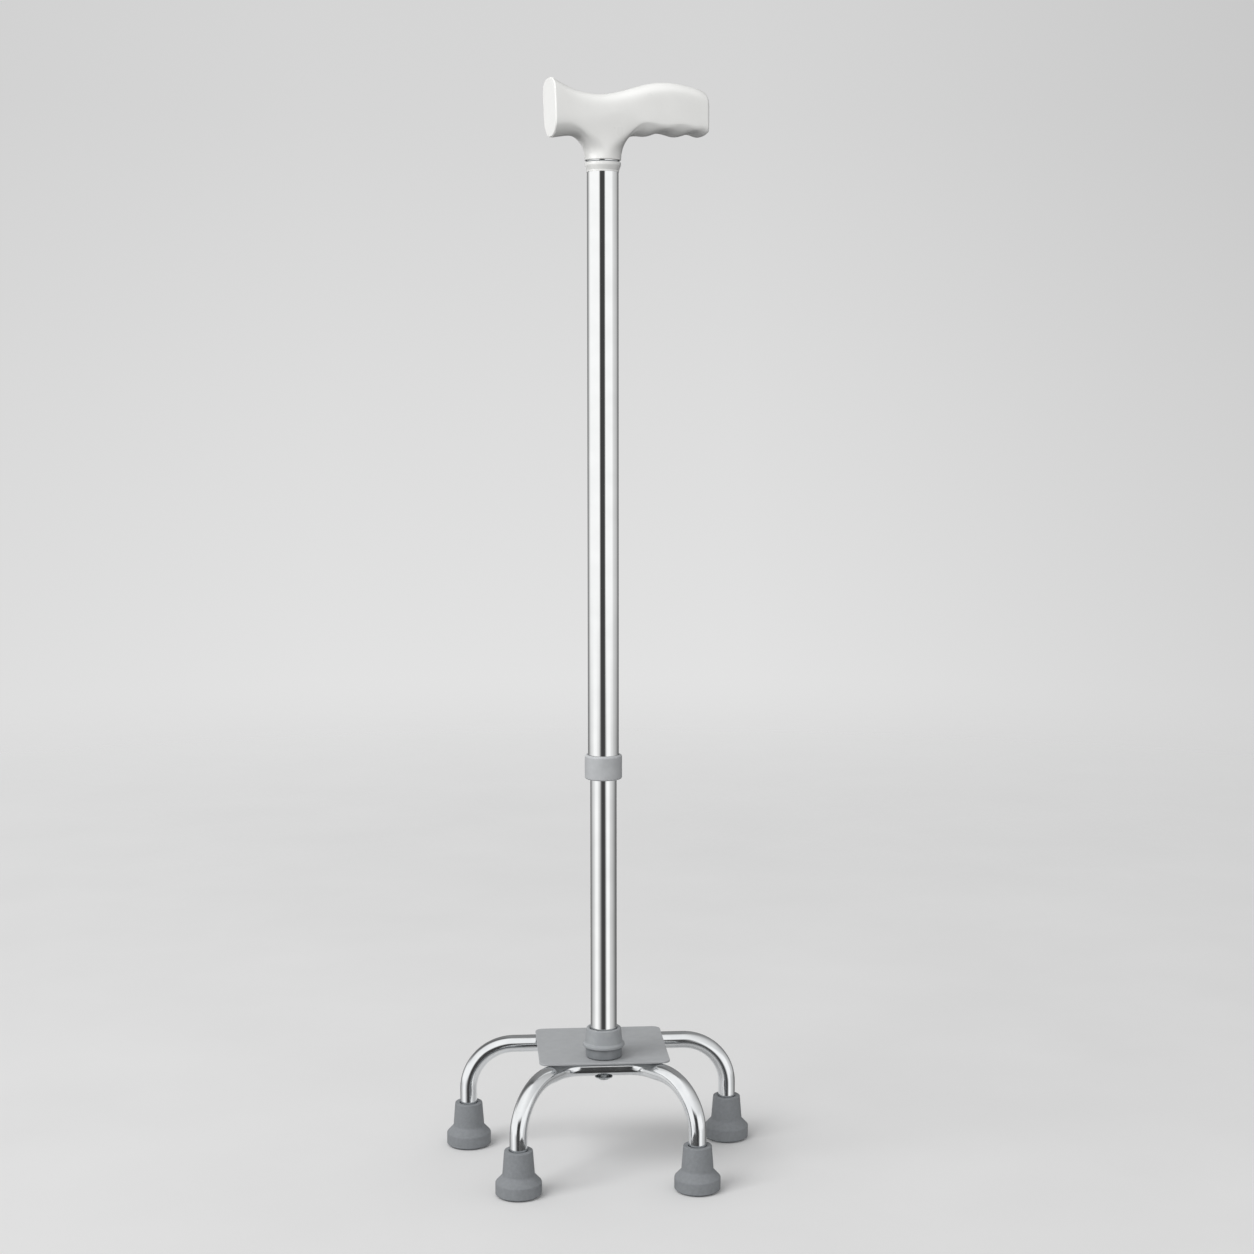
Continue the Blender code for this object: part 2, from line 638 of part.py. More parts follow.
def make_upper_tube(upper, aluminium):
    """The outer tube, with its row of height holes and the rivet's hole on its back."""
    bm = straight_tube(UPPER_RADIUS, UPPER_BORE, UPPER_TUBE_BOTTOM, UPPER_TUBE_TOP)
    tube = add_object("upper_tube", bm, aluminium, upper)
    for i in range(HOLE_COUNT):
        height = LOWEST_HOLE + i * HOLE_PITCH
        drill(f"height_hole_{i + 1}", tube, BUTTON_RADIUS + BUTTON_PLAY, (0, 0, height),
              (0, 2 * UPPER_RADIUS, height), upper)
    far = (0, 2 * UPPER_RADIUS, RIVET_HEIGHT)
    drill("tube_rivet_hole", tube, RIVET_RADIUS + GAP, (0, 0, RIVET_HEIGHT), far, upper)


def make_middle_collar(upper, plastic):
    """Pressed on the upper tube's end, it closes to a ledge that runs on the lower tube."""
    low, high = COLLAR_BOTTOM, COLLAR_BOTTOM + COLLAR_HEIGHT
    seat = UPPER_RADIUS + GAP
    outer = seat + COLLAR_WALL
    slide = LOWER_RADIUS + RUNNING_GAP
    ledge = low + COLLAR_LEDGE
    corners = [(slide, low), (outer, low), (outer, high), (seat, high), (seat, ledge), (slide, ledge)]
    bm = turned_rounded(corners, [COLLAR_FOOT_ROUND, COLLAR_TOP_ROUND, 0, 0], STEM_SIDES)
    add_object("middle_collar", bm, plastic, upper)


def make_neck_ring(upper, plastic):
    high = NECK_END - NECK_JOINT
    low = high - NECK_RING_HEIGHT
    foot = NECK_RADIUS - NECK_RING_ROUND / 4
    corners = [(NECK_BORE, low), (foot, low), (NECK_RADIUS, high), (NECK_BORE, high)]
    bm = turned_rounded(corners, [NECK_RING_ROUND * 0.7, 0.3 * MM], STEM_SIDES)
    add_object("neck_ring", bm, plastic, upper)


def make_handle_plug(upper, nylon):
    """The plug in the upper tube's top end, drilled for the rivet."""
    top = UPPER_TUBE_TOP + GAP
    spigot = UPPER_BORE - GAP
    corners = [
        (0, top - PLUG_SPIGOT),
        (spigot, top - PLUG_SPIGOT),
        (spigot, top),
        (UPPER_RADIUS, top),
        (UPPER_RADIUS, top + PLUG_FLANGE),
        (0, top + PLUG_FLANGE),
    ]
    bm = turned_rounded(corners, [0.8 * MM, 0, 0, 0], STEM_SIDES, 1)
    plug = add_object("handle_plug", bm, nylon, upper)
    drill("plug_rivet_hole", plug, RIVET_RADIUS + GAP, (0, rivet_tip_y() - GAP, RIVET_HEIGHT),
          (0, 2 * UPPER_RADIUS, RIVET_HEIGHT), upper)


def rivet_seat_y():
    """Bottom of the round recess for the rivet's head, in the back of the neck."""
    return NECK_RADIUS - RIVET_SINK


def rivet_tip_y():
    return rivet_seat_y() + GAP - RIVET_LENGTH


def make_handle_rivet(upper, steel):
    seat = rivet_seat_y() + GAP
    top = seat + RIVET_HEAD_HEIGHT
    corners = [
        (0, rivet_tip_y()),
        (RIVET_RADIUS, rivet_tip_y()),
        (RIVET_RADIUS, seat),
        (RIVET_HEAD_RADIUS, seat),
        (RIVET_HEAD_RADIUS, top),
        (0, top),
    ]
    bm = turned_rounded(corners, [0, 0, 0, 0.7 * MM], SMALL_SIDES, 2)
    add_object("handle_rivet", bm, steel, upper, (0, 0, RIVET_HEIGHT), (math.radians(-90), 0, 0))


def grip_top(x):
    """Height of the grip's ridge: the thumb end, a saddle over the stem, the palm's crest, and a fall."""
    if x < SADDLE_AT:
        return SADDLE_HEIGHT + THUMB_RISE * ((x - SADDLE_AT) / (THUMB_END - SADDLE_AT)) ** 2
    if x < CREST_AT:
        along = (x - SADDLE_AT) / (CREST_AT - SADDLE_AT)
        return SADDLE_HEIGHT + CREST_RISE * (1 - math.cos(math.pi * along)) / 2
    return SADDLE_HEIGHT + CREST_RISE - HEEL_DROP * ((x - CREST_AT) / (HEEL_END - CREST_AT)) ** 2


def grip_bottom(x):
    """Height of the underside: smooth for the thumb's side, scalloped for the fingers."""
    if x < 0:
        return THUMB_UNDERSIDE - THUMB_TIP_DROP * (x / THUMB_END) ** 4
    wave = math.cos(math.tau * max(x - FIRST_BUMP_AT, 0) / FINGER_PITCH)
    return FINGER_UNDERSIDE - FINGER_DEPTH / 2 * wave


def grip_half_width(x):
    """Half the grip's width, fuller under the palm."""
    swell = math.cos(math.pi / 2 * min(abs(x - CREST_AT) / (CREST_AT - SADDLE_AT), 1)) ** 2
    return GRIP_WIDTH / 2 + PALM_SWELL / 2 * swell


def oval_point(share, half, top, bottom):
    """Point (across, height) at a share of an upright rounded oblong's outline, clockwise from its top."""
    radius = min(GRIP_CORNER, half)
    flat = half - radius
    quarter = radius * math.pi / 2
    side = top - bottom - 2 * radius
    walked = share * 2 * (2 * flat + 2 * quarter + side)
    upper = walked < flat + quarter + side / 2
    if not upper:
        walked = 2 * flat + 2 * quarter + side - walked
    turn = min(max(walked - flat, 0) / radius, math.pi / 2)
    across = min(walked, flat) + radius * math.sin(turn)
    down = radius * (1 - math.cos(turn)) + max(walked - flat - quarter, 0)
    return across, top - down if upper else bottom + down


def grip_section(x, inset=0.0, drop=0.0):
    """Eight points round the grip at x, smaller all round by inset and reaching lower by drop."""
    outline = [grip_half_width(x) - inset, grip_top(x) - inset, grip_bottom(x) + inset - drop]
    right = [oval_point((i + 0.5) / 8, *outline) for i in range(4)]
    left = [(-y, z) for y, z in reversed(right)]
    return [Vector((x, y, z)) for y, z in right + left]


def rim_stations(end, inward, radius):
    """Three sections that round the edge of an end, from its face inwards."""
    for turn in (math.radians(90), math.radians(45), 0):
        yield end + inward * radius * (1 - math.sin(turn)), radius * (1 - math.cos(turn)), 0


def grip_stations():
    """(place, inset, drop) of each section, from the thumb end to the heel."""
    yield from rim_stations(THUMB_END, 1, THUMB_RIM)
    yield (THUMB_END - FLARE_AT) / 2, 0, 0
    yield -FLARE_AT, 0, 0
    yield -FLARE_AT / 3, 0, NECK_DROP
    yield FLARE_AT / 3, 0, NECK_DROP
    yield FLARE_AT, 0, 0
    yield (FLARE_AT + FIRST_BUMP_AT) / 2, 0, 0
    for half_pitch in range(4):
        yield FIRST_BUMP_AT + half_pitch * FINGER_PITCH / 2, 0, 0
    yield from reversed(list(rim_stations(HEEL_END, -1, HEEL_RIM)))


def smooth_limit(vert, crease_ring):
    """Where a cage vertex ends on the subdivided surface."""
    if vert in crease_ring:
        ring = [e.other_vert(vert).co for e in vert.link_edges if e.other_vert(vert) in crease_ring]
        return (ring[0] + 4 * vert.co + ring[1]) / 6
    count = len(vert.link_edges)
    beside = sum((e.other_vert(vert).co for e in vert.link_edges), Vector())
    across = Vector()
    for face in vert.link_faces:
        spot = list(face.verts).index(vert)
        across += face.verts[(spot + 2) % 4].co
    return (count**2 * vert.co + 4 * beside + across) / (count * (count + 5))


def fit_cage(bm, crease_ring, rounds=4):
    """Moves the cage out until its subdivided surface passes through the points it was drawn with."""
    wanted = {vert: vert.co.copy() for vert in bm.verts}
    for _ in range(rounds):
        short = {vert: wanted[vert] - smooth_limit(vert, crease_ring) for vert in bm.verts}
        for vert, by in short.items():
            vert.co += by


def neck_ring_points(height, along, across):
    """Eight points round the neck: half its size along the grip and across it."""
    turns = [math.radians(22.5 + 45 * i) for i in range(8)]
    return [Vector((along * math.cos(t), across * math.sin(t), height)) for t in turns]


def shape_mouth(mouth):
    """Places the eight points where the neck's flare leaves the underside."""
    for i, vert in enumerate(mouth):
        is_corner = i in (0, 3, 4, 7)
        side = 1 if i < 4 else -1
        vert.co.y = side * (MOUTH_CORNER_ACROSS if is_corner else GRIP_WIDTH / 2)
        vert.co.z = THUMB_UNDERSIDE - MOUTH_DROP


def handle_cage():
    """The T-grip's control cage: sections along the grip, with the neck drawn down from its underside."""
    bm = bmesh.new()
    rings = [[bm.verts.new(p) for p in grip_section(*station)] for station in grip_stations()]
    neck_stations = range(4, 8)
    for i, (one, two) in enumerate(zip(rings, rings[1:])):
        for k in range(8):
            under_neck = k == 3 and i in neck_stations[:-1]
            if not under_neck:
                j = (k + 1) % 8
                bm.faces.new((one[k], one[j], two[j], two[k]))
    for end in (rings[0], rings[-1]):
        for a, b, c, d in ((0, 1, 6, 7), (1, 2, 5, 6), (2, 3, 4, 5)):
            bm.faces.new((end[a], end[b], end[c], end[d]))

    # the mouth of the neck in the underside, in the order of neck_ring_points
    right = [rings[i][3] for i in reversed(neck_stations)]
    left = [rings[i][4] for i in neck_stations]
    mouth = [right[0], right[1], right[2], right[3], left[0], left[1], left[2], left[3]]
    shape_mouth(mouth)
    rows = [mouth]
    for height, along in ((FLARE_FOOT_UP, NECK_RADIUS + FLARE_FOOT_WIDER), (0, NECK_RADIUS)):
        rows.append([bm.verts.new(p) for p in neck_ring_points(height, along, NECK_RADIUS)])
    skin(bm, rows)
    bm.faces.new(rows[-1])
    crease = bm.edges.layers.float.new("crease_edge")
    for one, two in zip(rows[-1], rows[-1][1:] + rows[-1][:1]):
        bm.edges.get((one, two))[crease] = 1.0
        bm.edges.get((one, two)).smooth = False
    fit_cage(bm, set(rows[-1]))
    return bm


def make_handle(upper, plastic):
    """The moulded grip, with the tube's socket in its neck and a recess for the rivet at the back."""
    grip = add_object("handle_grip", handle_cage(), plastic, upper, (0, 0, NECK_END), smooth=False)
    grip.data.shade_smooth()
    smooth = grip.modifiers.new("smooth", "SUBSURF")
    smooth.levels = 2
    smooth.render_levels = 2
    depth = UPPER_TUBE_TOP + GAP + PLUG_FLANGE + GAP
    drill("neck_socket", grip, NECK_BORE, (0, 0, NECK_END - NECK_JOINT), (0, 0, depth), upper, STEM_SIDES)
    far = (0, 2 * NECK_RADIUS, RIVET_HEIGHT)
    drill("neck_rivet_recess", grip, RIVET_HEAD_RADIUS + GAP, (0, rivet_seat_y(), RIVET_HEIGHT), far, upper)
    drill("neck_rivet_hole", grip, RIVET_RADIUS + GAP, (0, 0, RIVET_HEIGHT), far, upper)


def build():
    clear_scene()
    white_plastic = material("white_moulded_plastic", (0.80, 0.80, 0.79), 0.22, coat=0.3)
    grey_plastic = material("grey_moulded_plastic", (0.27, 0.28, 0.29), 0.45)
    nylon = material("natural_nylon", (0.70, 0.68, 0.62), 0.5)
    aluminium = material("polished_aluminium", (0.86, 0.87, 0.88), 0.12, metallic=1.0)
    chrome = material("chromed_steel_tube", (0.82, 0.83, 0.84), 0.1, metallic=1.0)
    plate_paint = material("grey_painted_steel", (0.36, 0.37, 0.38), 0.5)
    zinc = material("zinc_plated_steel", (0.62, 0.63, 0.64), 0.35, metallic=1.0)
    spring_steel = material("spring_steel", (0.35, 0.35, 0.36), 0.4, metallic=1.0)
    rubber = material("grey_rubber", (0.19, 0.20, 0.21), 0.75)

    make_rear_leg_tube(chrome)
    make_front_leg_tube(chrome)
    make_feet(rubber, zinc)
    make_plate(plate_paint)
    make_welds(zinc)

    stem = empty("stem_axis", (0, STEM_Y, 0), STEM_TURN)
    make_bolt(stem, zinc)
    make_foot_plug(stem, zinc)
    make_seat_and_socket(stem, grey_plastic)
    make_lower_tube(stem, aluminium)
    make_guide_bush(stem, nylon)
    make_snap_spring(stem, spring_steel)
    make_snap_button(stem, zinc)

    upper = empty("upper_stem_slide", (0, 0, 0), parent=stem)
    make_upper_tube(upper, aluminium)
    make_middle_collar(upper, grey_plastic)
    make_neck_ring(upper, white_plastic)
    make_handle_plug(upper, nylon)
    make_handle_rivet(upper, zinc)
    make_handle(upper, white_plastic)


build()
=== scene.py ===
# %% [markdown]
# # A quad cane in Blender
#
# This lesson builds the looks of a walking cane that stands on four rubber feet. Its measured
# parts come from a CAD model, which is loaded first and stays where it is. Each visible part is
# then modelled again, smoother and with finer edges, and takes the place of its CAD part.
# The order is: camera, light, finishes, feet and legs, stem, handle.

# %% Load the measured model
import math

import bmesh
import bpy
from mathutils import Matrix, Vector


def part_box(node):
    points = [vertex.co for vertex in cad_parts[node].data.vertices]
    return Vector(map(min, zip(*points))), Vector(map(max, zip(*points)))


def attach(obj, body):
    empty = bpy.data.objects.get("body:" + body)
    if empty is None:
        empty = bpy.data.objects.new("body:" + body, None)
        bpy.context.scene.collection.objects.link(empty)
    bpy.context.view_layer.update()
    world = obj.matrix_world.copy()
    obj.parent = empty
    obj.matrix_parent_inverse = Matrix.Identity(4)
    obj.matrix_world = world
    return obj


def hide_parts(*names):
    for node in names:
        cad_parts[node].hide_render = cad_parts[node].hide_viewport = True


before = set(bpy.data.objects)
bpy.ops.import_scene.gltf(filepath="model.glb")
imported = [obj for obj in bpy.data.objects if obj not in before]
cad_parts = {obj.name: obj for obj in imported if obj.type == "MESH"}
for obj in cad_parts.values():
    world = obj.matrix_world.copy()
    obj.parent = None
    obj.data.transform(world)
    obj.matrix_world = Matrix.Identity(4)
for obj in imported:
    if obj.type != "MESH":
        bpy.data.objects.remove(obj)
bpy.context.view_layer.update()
MM = 0.001
print("CAD parts:", len(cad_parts))

# %% [markdown]
# ## The camera
#
# A long lens from about one and a half metres keeps the stem's edges nearly parallel, as in the
# photograph. The camera stands a little left of the cane and looks slightly down. Tilting the
# camera is the plain way to frame it. Shifting the lens instead would keep upright lines
# parallel, but the photograph's own lines lean together a little, so it was tilted too.

# %% Set up the camera
PHOTO_SIDE = 1254
LENS_IN_PIXELS = 2150
SENSOR = 36  # mm
STEM = Vector((0, -8 * MM, 0))  # where the stem's axis meets the floor
EYE_DISTANCE, EYE_ASIDE, EYE_HEIGHT = 1.53, 0.017, 0.5675
HEADING = math.radians(4.58)
LOOK_DOWN = 0.1084  # radians

ahead = Vector((math.sin(HEADING), math.cos(HEADING), 0))
aside = Vector((math.cos(HEADING), -math.sin(HEADING), 0))
eye = STEM - EYE_DISTANCE * ahead + EYE_ASIDE * aside + Vector((0, 0, EYE_HEIGHT))
bpy.ops.object.camera_add(location=eye, rotation=(math.pi / 2 - LOOK_DOWN, 0, -HEADING))
camera = bpy.context.object
camera.name = "photo_camera"
camera.data.sensor_width = SENSOR
camera.data.lens = SENSOR * LENS_IN_PIXELS / PHOTO_SIDE
camera.data.clip_start = 0.01
bpy.context.scene.camera = camera
print("lens in mm:", round(camera.data.lens, 1))

# %% [markdown]
# ## Colours and nodes
#
# Colours are written as hex values, the way a colour picker shows them. Cycles works in linear
# light, so a function turns them, and another makes a plain grey. The third adds a shader node,
# sets it up and links it, which keeps each material short enough to read. The last lists the
# inputs of a Map Range node, which turns one range of numbers into another.

# %% Colour and node helpers


def colour(code):
    """A hex colour such as #C0C0C0 as linear red, green, blue and alpha."""
    shares = [int(code[i : i + 2], 16) / 255 for i in (1, 3, 5)]
    linear = [((s + 0.055) / 1.055) ** 2.4 if s > 0.04045 else s / 12.92 for s in shares]
    return linear + [1.0]


def grey(light):
    """A grey of this brightness in linear light, where 1 is white."""
    return [light, light, light, 1.0]


def node(tree, kind, inputs=None, stops=None, **settings):
    """Adds a node. Its inputs are values, or outputs of other nodes; stops are a ramp's colours."""
    made = tree.nodes.new(kind)
    for name, value in settings.items():
        setattr(made, name, value)
    for name, value in (inputs or {}).items():
        if isinstance(value, bpy.types.NodeSocket):
            tree.links.new(value, made.inputs[name])
        else:
            made.inputs[name].default_value = value
    for i, (place, shade) in enumerate(stops or []):
        ramp = made.color_ramp.elements
        stop = ramp[i] if i < len(ramp) else ramp.new(place)
        stop.position = place
        stop.color = shade
    return made


def span(value, start, end, low=0.0, high=1.0):
    """A Map Range node's inputs: from start to end, the value becomes low to high."""
    return {"Value": value, "From Min": start, "From Max": end, "To Min": low, "To Max": high}


print("mid grey in linear light:", [round(channel, 3) for channel in colour("#808080")])

# %% [markdown]
# ## The floor
#
# The cane stands on a pale, matt studio floor. A wide disc is enough, but its edge must not show,
# so its material turns transparent towards the edge and the pale room takes over. Bounced
# light meets a smaller disc, as if the cane stood on a table. Mirrored rays meet a smaller one
# still, behind the cane, because a wide bright floor would wash out the dark lines on the legs.

# %% Make the floor
FLOOR_RADIUS = 3.2
FLOOR_SINK = 0.05 * MM  # under the soles, so that the faces don't fight

bpy.ops.object.select_all(action="DESELECT")
bpy.ops.mesh.primitive_circle_add(
    vertices=96, radius=FLOOR_RADIUS, fill_type="NGON", location=(0, 0, -FLOOR_SINK)
)
floor = bpy.context.object
floor.name = "studio_floor"

floor_finish = bpy.data.materials.new("matt_studio_floor")
floor_finish.use_nodes = True
tree = floor_finish.node_tree
tree.nodes.clear()
place = node(tree, "ShaderNodeTexCoord").outputs["Object"]
rays = node(tree, "ShaderNodeLightPath").outputs


def disc(middle, whole, gone):
    """Full up to one distance from the middle, in metres, and faded out at another."""
    away = node(tree, "ShaderNodeVectorMath", {0: place, 1: middle}, operation="DISTANCE")
    fade = span(away.outputs["Value"], whole, gone, 1.0, 0.0)
    return node(tree, "ShaderNodeMapRange", fade, interpolation_type="SMOOTHSTEP").outputs["Result"]


seen = disc((0, 0, 0), 0.7, 2.8)
near = disc((0, 0, 0), 0.30, 0.65)
mirrored = disc((0, 0.12, 0), 0.11, 0.17)
lit = node(tree, "ShaderNodeMix", {"Factor": rays["Is Glossy Ray"], 2: near, 3: mirrored})
solid = node(tree, "ShaderNodeMix", {"Factor": rays["Is Camera Ray"], 2: lit.outputs[0], 3: seen})
grain = node(
    tree, "ShaderNodeTexNoise", {"Vector": place, "Scale": 6.0, "Detail": 3.0, "Roughness": 0.5}
)
paper = node(
    tree,
    "ShaderNodeValToRGB",
    {"Fac": grain.outputs["Fac"]},
    stops=[(0.3, colour("#ECECEC")), (0.7, colour("#EFEFEF"))],
)
matt = node(tree, "ShaderNodeBsdfDiffuse", {"Color": paper.outputs["Color"]})
clear = node(tree, "ShaderNodeBsdfTransparent")
both = node(
    tree, "ShaderNodeMixShader", {0: solid.outputs[0], 1: clear.outputs[0], 2: matt.outputs[0]}
)
node(tree, "ShaderNodeOutputMaterial", {"Surface": both.outputs[0]})
floor.data.materials.append(floor_finish)
print("floor across, in m:", round(floor.dimensions.x, 2))

# %% [markdown]
# Photographers lay black cards, called flags, beside shiny things to give them dark lines. This
# one lies on the floor in front of the cane, and only mirrored rays see it. It gives the front
# leg tube the long dark band along its middle.

# %% Lay the black card
bpy.ops.mesh.primitive_plane_add(size=1, location=(0, -108 * MM, 1 * MM))
flag = bpy.context.object
flag.name = "black_flag"
flag.scale = (85 * MM, 135 * MM, 1)
for kind in ("camera", "diffuse", "transmission", "shadow"):
    setattr(flag, f"visible_{kind}", False)
black_felt = bpy.data.materials.new("black_felt")
black_felt.use_nodes = True
black_felt.node_tree.nodes["Principled BSDF"].inputs["Base Color"].default_value = colour("#181818")
flag.data.materials.append(black_felt)
print("seen by mirrored rays:", flag.visible_glossy, "- by the camera:", flag.visible_camera)

# %% [markdown]
# ## The room round the cane
#
# Polished tubes show the room and little of themselves, so the room is designed with care. Pale
# walls stand left and right of the cane, and it is dark behind the camera and behind the cane.
# An upright tube squeezes that room sideways: it shows two bright bands with a dark stripe
# between them, and dark edges. Bent tubes look up and down too, so the walls are painted in
# layers: at eye level, higher up, below, and a plain grey for what lies steeply below. The world
# shader shows these walls to mirrored rays only. What the camera sees behind the cane is a soft
# pale gradient, and what lights matt surfaces is a plain soft sky that is dark below.

# %% Paint the room
WALL = 1.09  # brightness of the pale walls, where 1 is white

world = bpy.data.worlds.new("studio_room")
bpy.context.scene.world = world
world.use_nodes = True
world.cycles.sampling_method = "NONE"
tree = world.node_tree
tree.nodes.clear()
towards = node(tree, "ShaderNodeTexCoord").outputs["Generated"]
way = node(tree, "ShaderNodeSeparateXYZ", {0: towards}).outputs
flipped = node(tree, "ShaderNodeMath", {0: way["Y"], 1: -1.0}, operation="MULTIPLY")
compass = node(tree, "ShaderNodeMath", {0: way["X"], 1: flipped.outputs[0]}, operation="ARCTAN2")
to_camera = math.atan2(eye.x - STEM.x, -(eye.y - STEM.y))
once_round = span(compass.outputs[0], to_camera - math.pi, to_camera + math.pi)
turned_by = node(tree, "ShaderNodeMapRange", once_round, clamp=False).outputs["Result"]
height = node(tree, "ShaderNodeMath", {0: way["Z"]}, operation="ARCSINE").outputs[0]


def walls(stops):
    """A ramp round the room: (degrees from the camera round to its right, brightness)."""
    ramp = [((angle + 180) / 360, grey(light)) for angle, light in stops]
    return node(tree, "ShaderNodeValToRGB", {"Fac": turned_by}, stops=ramp).outputs["Color"]


def by_height(reach, stops):
    """A ramp from this many degrees below the horizon to as many above it."""
    reach = math.radians(reach)
    share = node(tree, "ShaderNodeMapRange", span(height, -reach, reach)).outputs["Result"]
    return node(tree, "ShaderNodeValToRGB", {"Fac": share}, stops=stops).outputs["Color"]


eye_level = walls(
    [
        (-180, 0.20), (-150, 0.22), (-131, 0.36), (-122, 0.66), (-112, 0.88), (-100, 1.0),
        (-30, 1.0), (-25, 0.74), (-21, 0.28), (-18, 0.055), (10, 0.055), (14, 0.28),
        (17, 0.74), (20, 1.0), (70, 1.0), (78, 0.76), (90, 0.66), (105, 0.58), (118, 0.50),
        (127, 0.34), (140, 0.18), (180, 0.16),
    ]
)
below = walls(
    [
        (-180, 0.14), (-147, 0.18), (-126, 0.30), (-110, 0.54), (-96, 0.66), (-84, 0.78),
        (-73, 1.0), (-54, 1.0), (-44, 0.78), (-35, 0.64), (-27, 0.34), (-18, 0.12),
        (-10, 0.055), (8, 0.055), (15, 0.14), (22, 0.60), (30, 1.0), (50, 1.0), (60, 0.70),
        (81, 0.56), (105, 0.36), (121, 0.18), (140, 0.14), (180, 0.14),
    ]
)
above = walls(
    [
        (-180, 0.28), (-150, 0.20), (-130, 0.10), (-112, 0.30), (-94, 0.90), (-20, 1.0),
        (10, 0.95), (40, 0.80), (90, 0.60), (120, 0.40), (140, 0.27), (180, 0.25),
    ]
)
room = eye_level
for start, end, layer in ((-4, -13, below), (9, 22, above), (-24, -36, grey(0.40))):
    fade = span(height, math.radians(start), math.radians(end))
    share = node(tree, "ShaderNodeMapRange", fade, interpolation_type="SMOOTHSTEP").outputs["Result"]
    inputs = {"Factor": share, 6: room, 7: layer}
    room = node(tree, "ShaderNodeMix", inputs, data_type="RGBA").outputs[2]

BACKDROP = ((0.0, "#E2E2E2"), (0.36, "#E3E3E3"), (0.5, "#DDDDDD"), (0.62, "#D6D6D6"), (1.0, "#D0D0D0"))
SKY = ((0.0, 0.05), (0.44, 0.05), (0.5, 0.42), (0.56, 0.85), (0.68, 0.70), (0.8, 0.37), (1.0, 0.35))
FALL_OFF = ((0.0, 0.94), (0.40, 1.03), (0.60, 1.03), (1.0, 0.82))  # from left to right
backdrop = by_height(30, [(at, colour(code)) for at, code in BACKDROP])
sky = by_height(90, [(at, grey(light)) for at, light in SKY])
across = node(tree, "ShaderNodeMapRange", span(way["X"], -0.25, 0.4)).outputs["Result"]
to_sides = node(
    tree, "ShaderNodeValToRGB", {"Fac": across}, stops=[(at, grey(light)) for at, light in FALL_OFF]
)
to_sides.color_ramp.interpolation = "B_SPLINE"

light_path = node(tree, "ShaderNodeLightPath").outputs
either = {0: light_path["Is Glossy Ray"], 1: light_path["Is Transmission Ray"]}
mirrors = node(tree, "ShaderNodeMath", either, operation="MAXIMUM").outputs[0]
layers = []
for shade, strength in ((sky, 1.0), (room, WALL), (backdrop, to_sides.outputs["Color"])):
    inputs = {"Color": shade, "Strength": strength}
    layers.append(node(tree, "ShaderNodeBackground", inputs).outputs[0])
soft_light, mirrored_room, seen_backdrop = layers
first = node(tree, "ShaderNodeMixShader", {0: mirrors, 1: soft_light, 2: mirrored_room})
last = node(
    tree,
    "ShaderNodeMixShader",
    {0: light_path["Is Camera Ray"], 1: first.outputs[0], 2: seen_backdrop},
)
node(tree, "ShaderNodeOutputWorld", {"Surface": last.outputs[0]})
print("the camera stands", round(-math.degrees(to_camera), 1), "degrees left of the front")

# %% [markdown]
# ## The lamps
#
# One large softbox stands to the left in front of the cane, high up, so shadows fall softly to
# the right and back. Three smaller lamps stand near the handle: one in front, one on the left
# for the flat thumb end, and a weak one behind on the left, which that end mirrors at a low
# angle. One strong lamp on the left would do for both, but seen from that side it burns the
# thumb end out. Light linking keeps these three off the metal and the floor, where they would
# leave spots and second shadows. The softbox and the front lamp are hidden from mirrored rays,
# because the room already draws what shines.

# %% Hang the softboxes
CANE_MIDDLE = (0, 0, 0.3)
HANDLE_PLACE = (0, 0, 0.72)


def softbox(name, azimuth, elevation, distance, size, light, aim):
    """A square lamp seen from aim at these angles. Light is what a white surface facing it gets."""
    a, e = math.radians(azimuth), math.radians(elevation)
    way = Vector((math.sin(a) * math.cos(e), -math.cos(a) * math.cos(e), math.sin(e)))
    turn = way.to_track_quat("Z", "Y").to_euler()
    bpy.ops.object.light_add(type="AREA", location=Vector(aim) + way * distance, rotation=turn)
    lamp = bpy.context.object
    lamp.name = lamp.data.name = name
    lamp.data.size = size
    lamp.data.energy = light * (math.pi * distance) ** 2
    return lamp


key = softbox("key_softbox", -60, 50, 6.0, 3.2, 0.45, CANE_MIDDLE)
near_handle = [
    softbox("handle_fill", -12, 19, 1.3, 0.6, 0.45, HANDLE_PLACE),
    softbox("handle_side", -66, 14, 1.3, 0.7, 0.25, HANDLE_PLACE),
    softbox("handle_back", -152, 6, 1.6, 1.2, 0.12, HANDLE_PLACE),
]
key.visible_glossy = False
near_handle[0].visible_glossy = False
plastic_parts = bpy.data.collections.new("plastic_parts")
for lamp in near_handle:
    lamp.visible_camera = False
    lamp.light_linking.receiver_collection = plastic_parts
print("lamps:", [lamp.name for lamp in (key, *near_handle)])

# %% [markdown]
# ## Finishes
#
# Every finish starts from what the real surface is and how it was made. They all read Object
# coordinates, which are metres from the middle of the feet, so a noise of scale 1000 repeats
# about every millimetre. Most are built the same way: a cloudy noise mixes two near tones and
# shifts the roughness, and it or a finer one raises the skin slightly. One function does that,
# and each cell gives it the measures of one material.

# %% Start a finish


def new_finish(name, **shader_values):
    """A material with a plain shader. Gives back the material, its tree, shader and coordinates."""
    finish = bpy.data.materials.new(name)
    finish.use_nodes = True
    tree = finish.node_tree
    shader = tree.nodes["Principled BSDF"]
    for socket, value in shader_values.items():
        shader.inputs[socket.replace("_", " ")].default_value = value
    place = node(tree, "ShaderNodeTexCoord").outputs["Object"]
    return finish, tree, shader, place


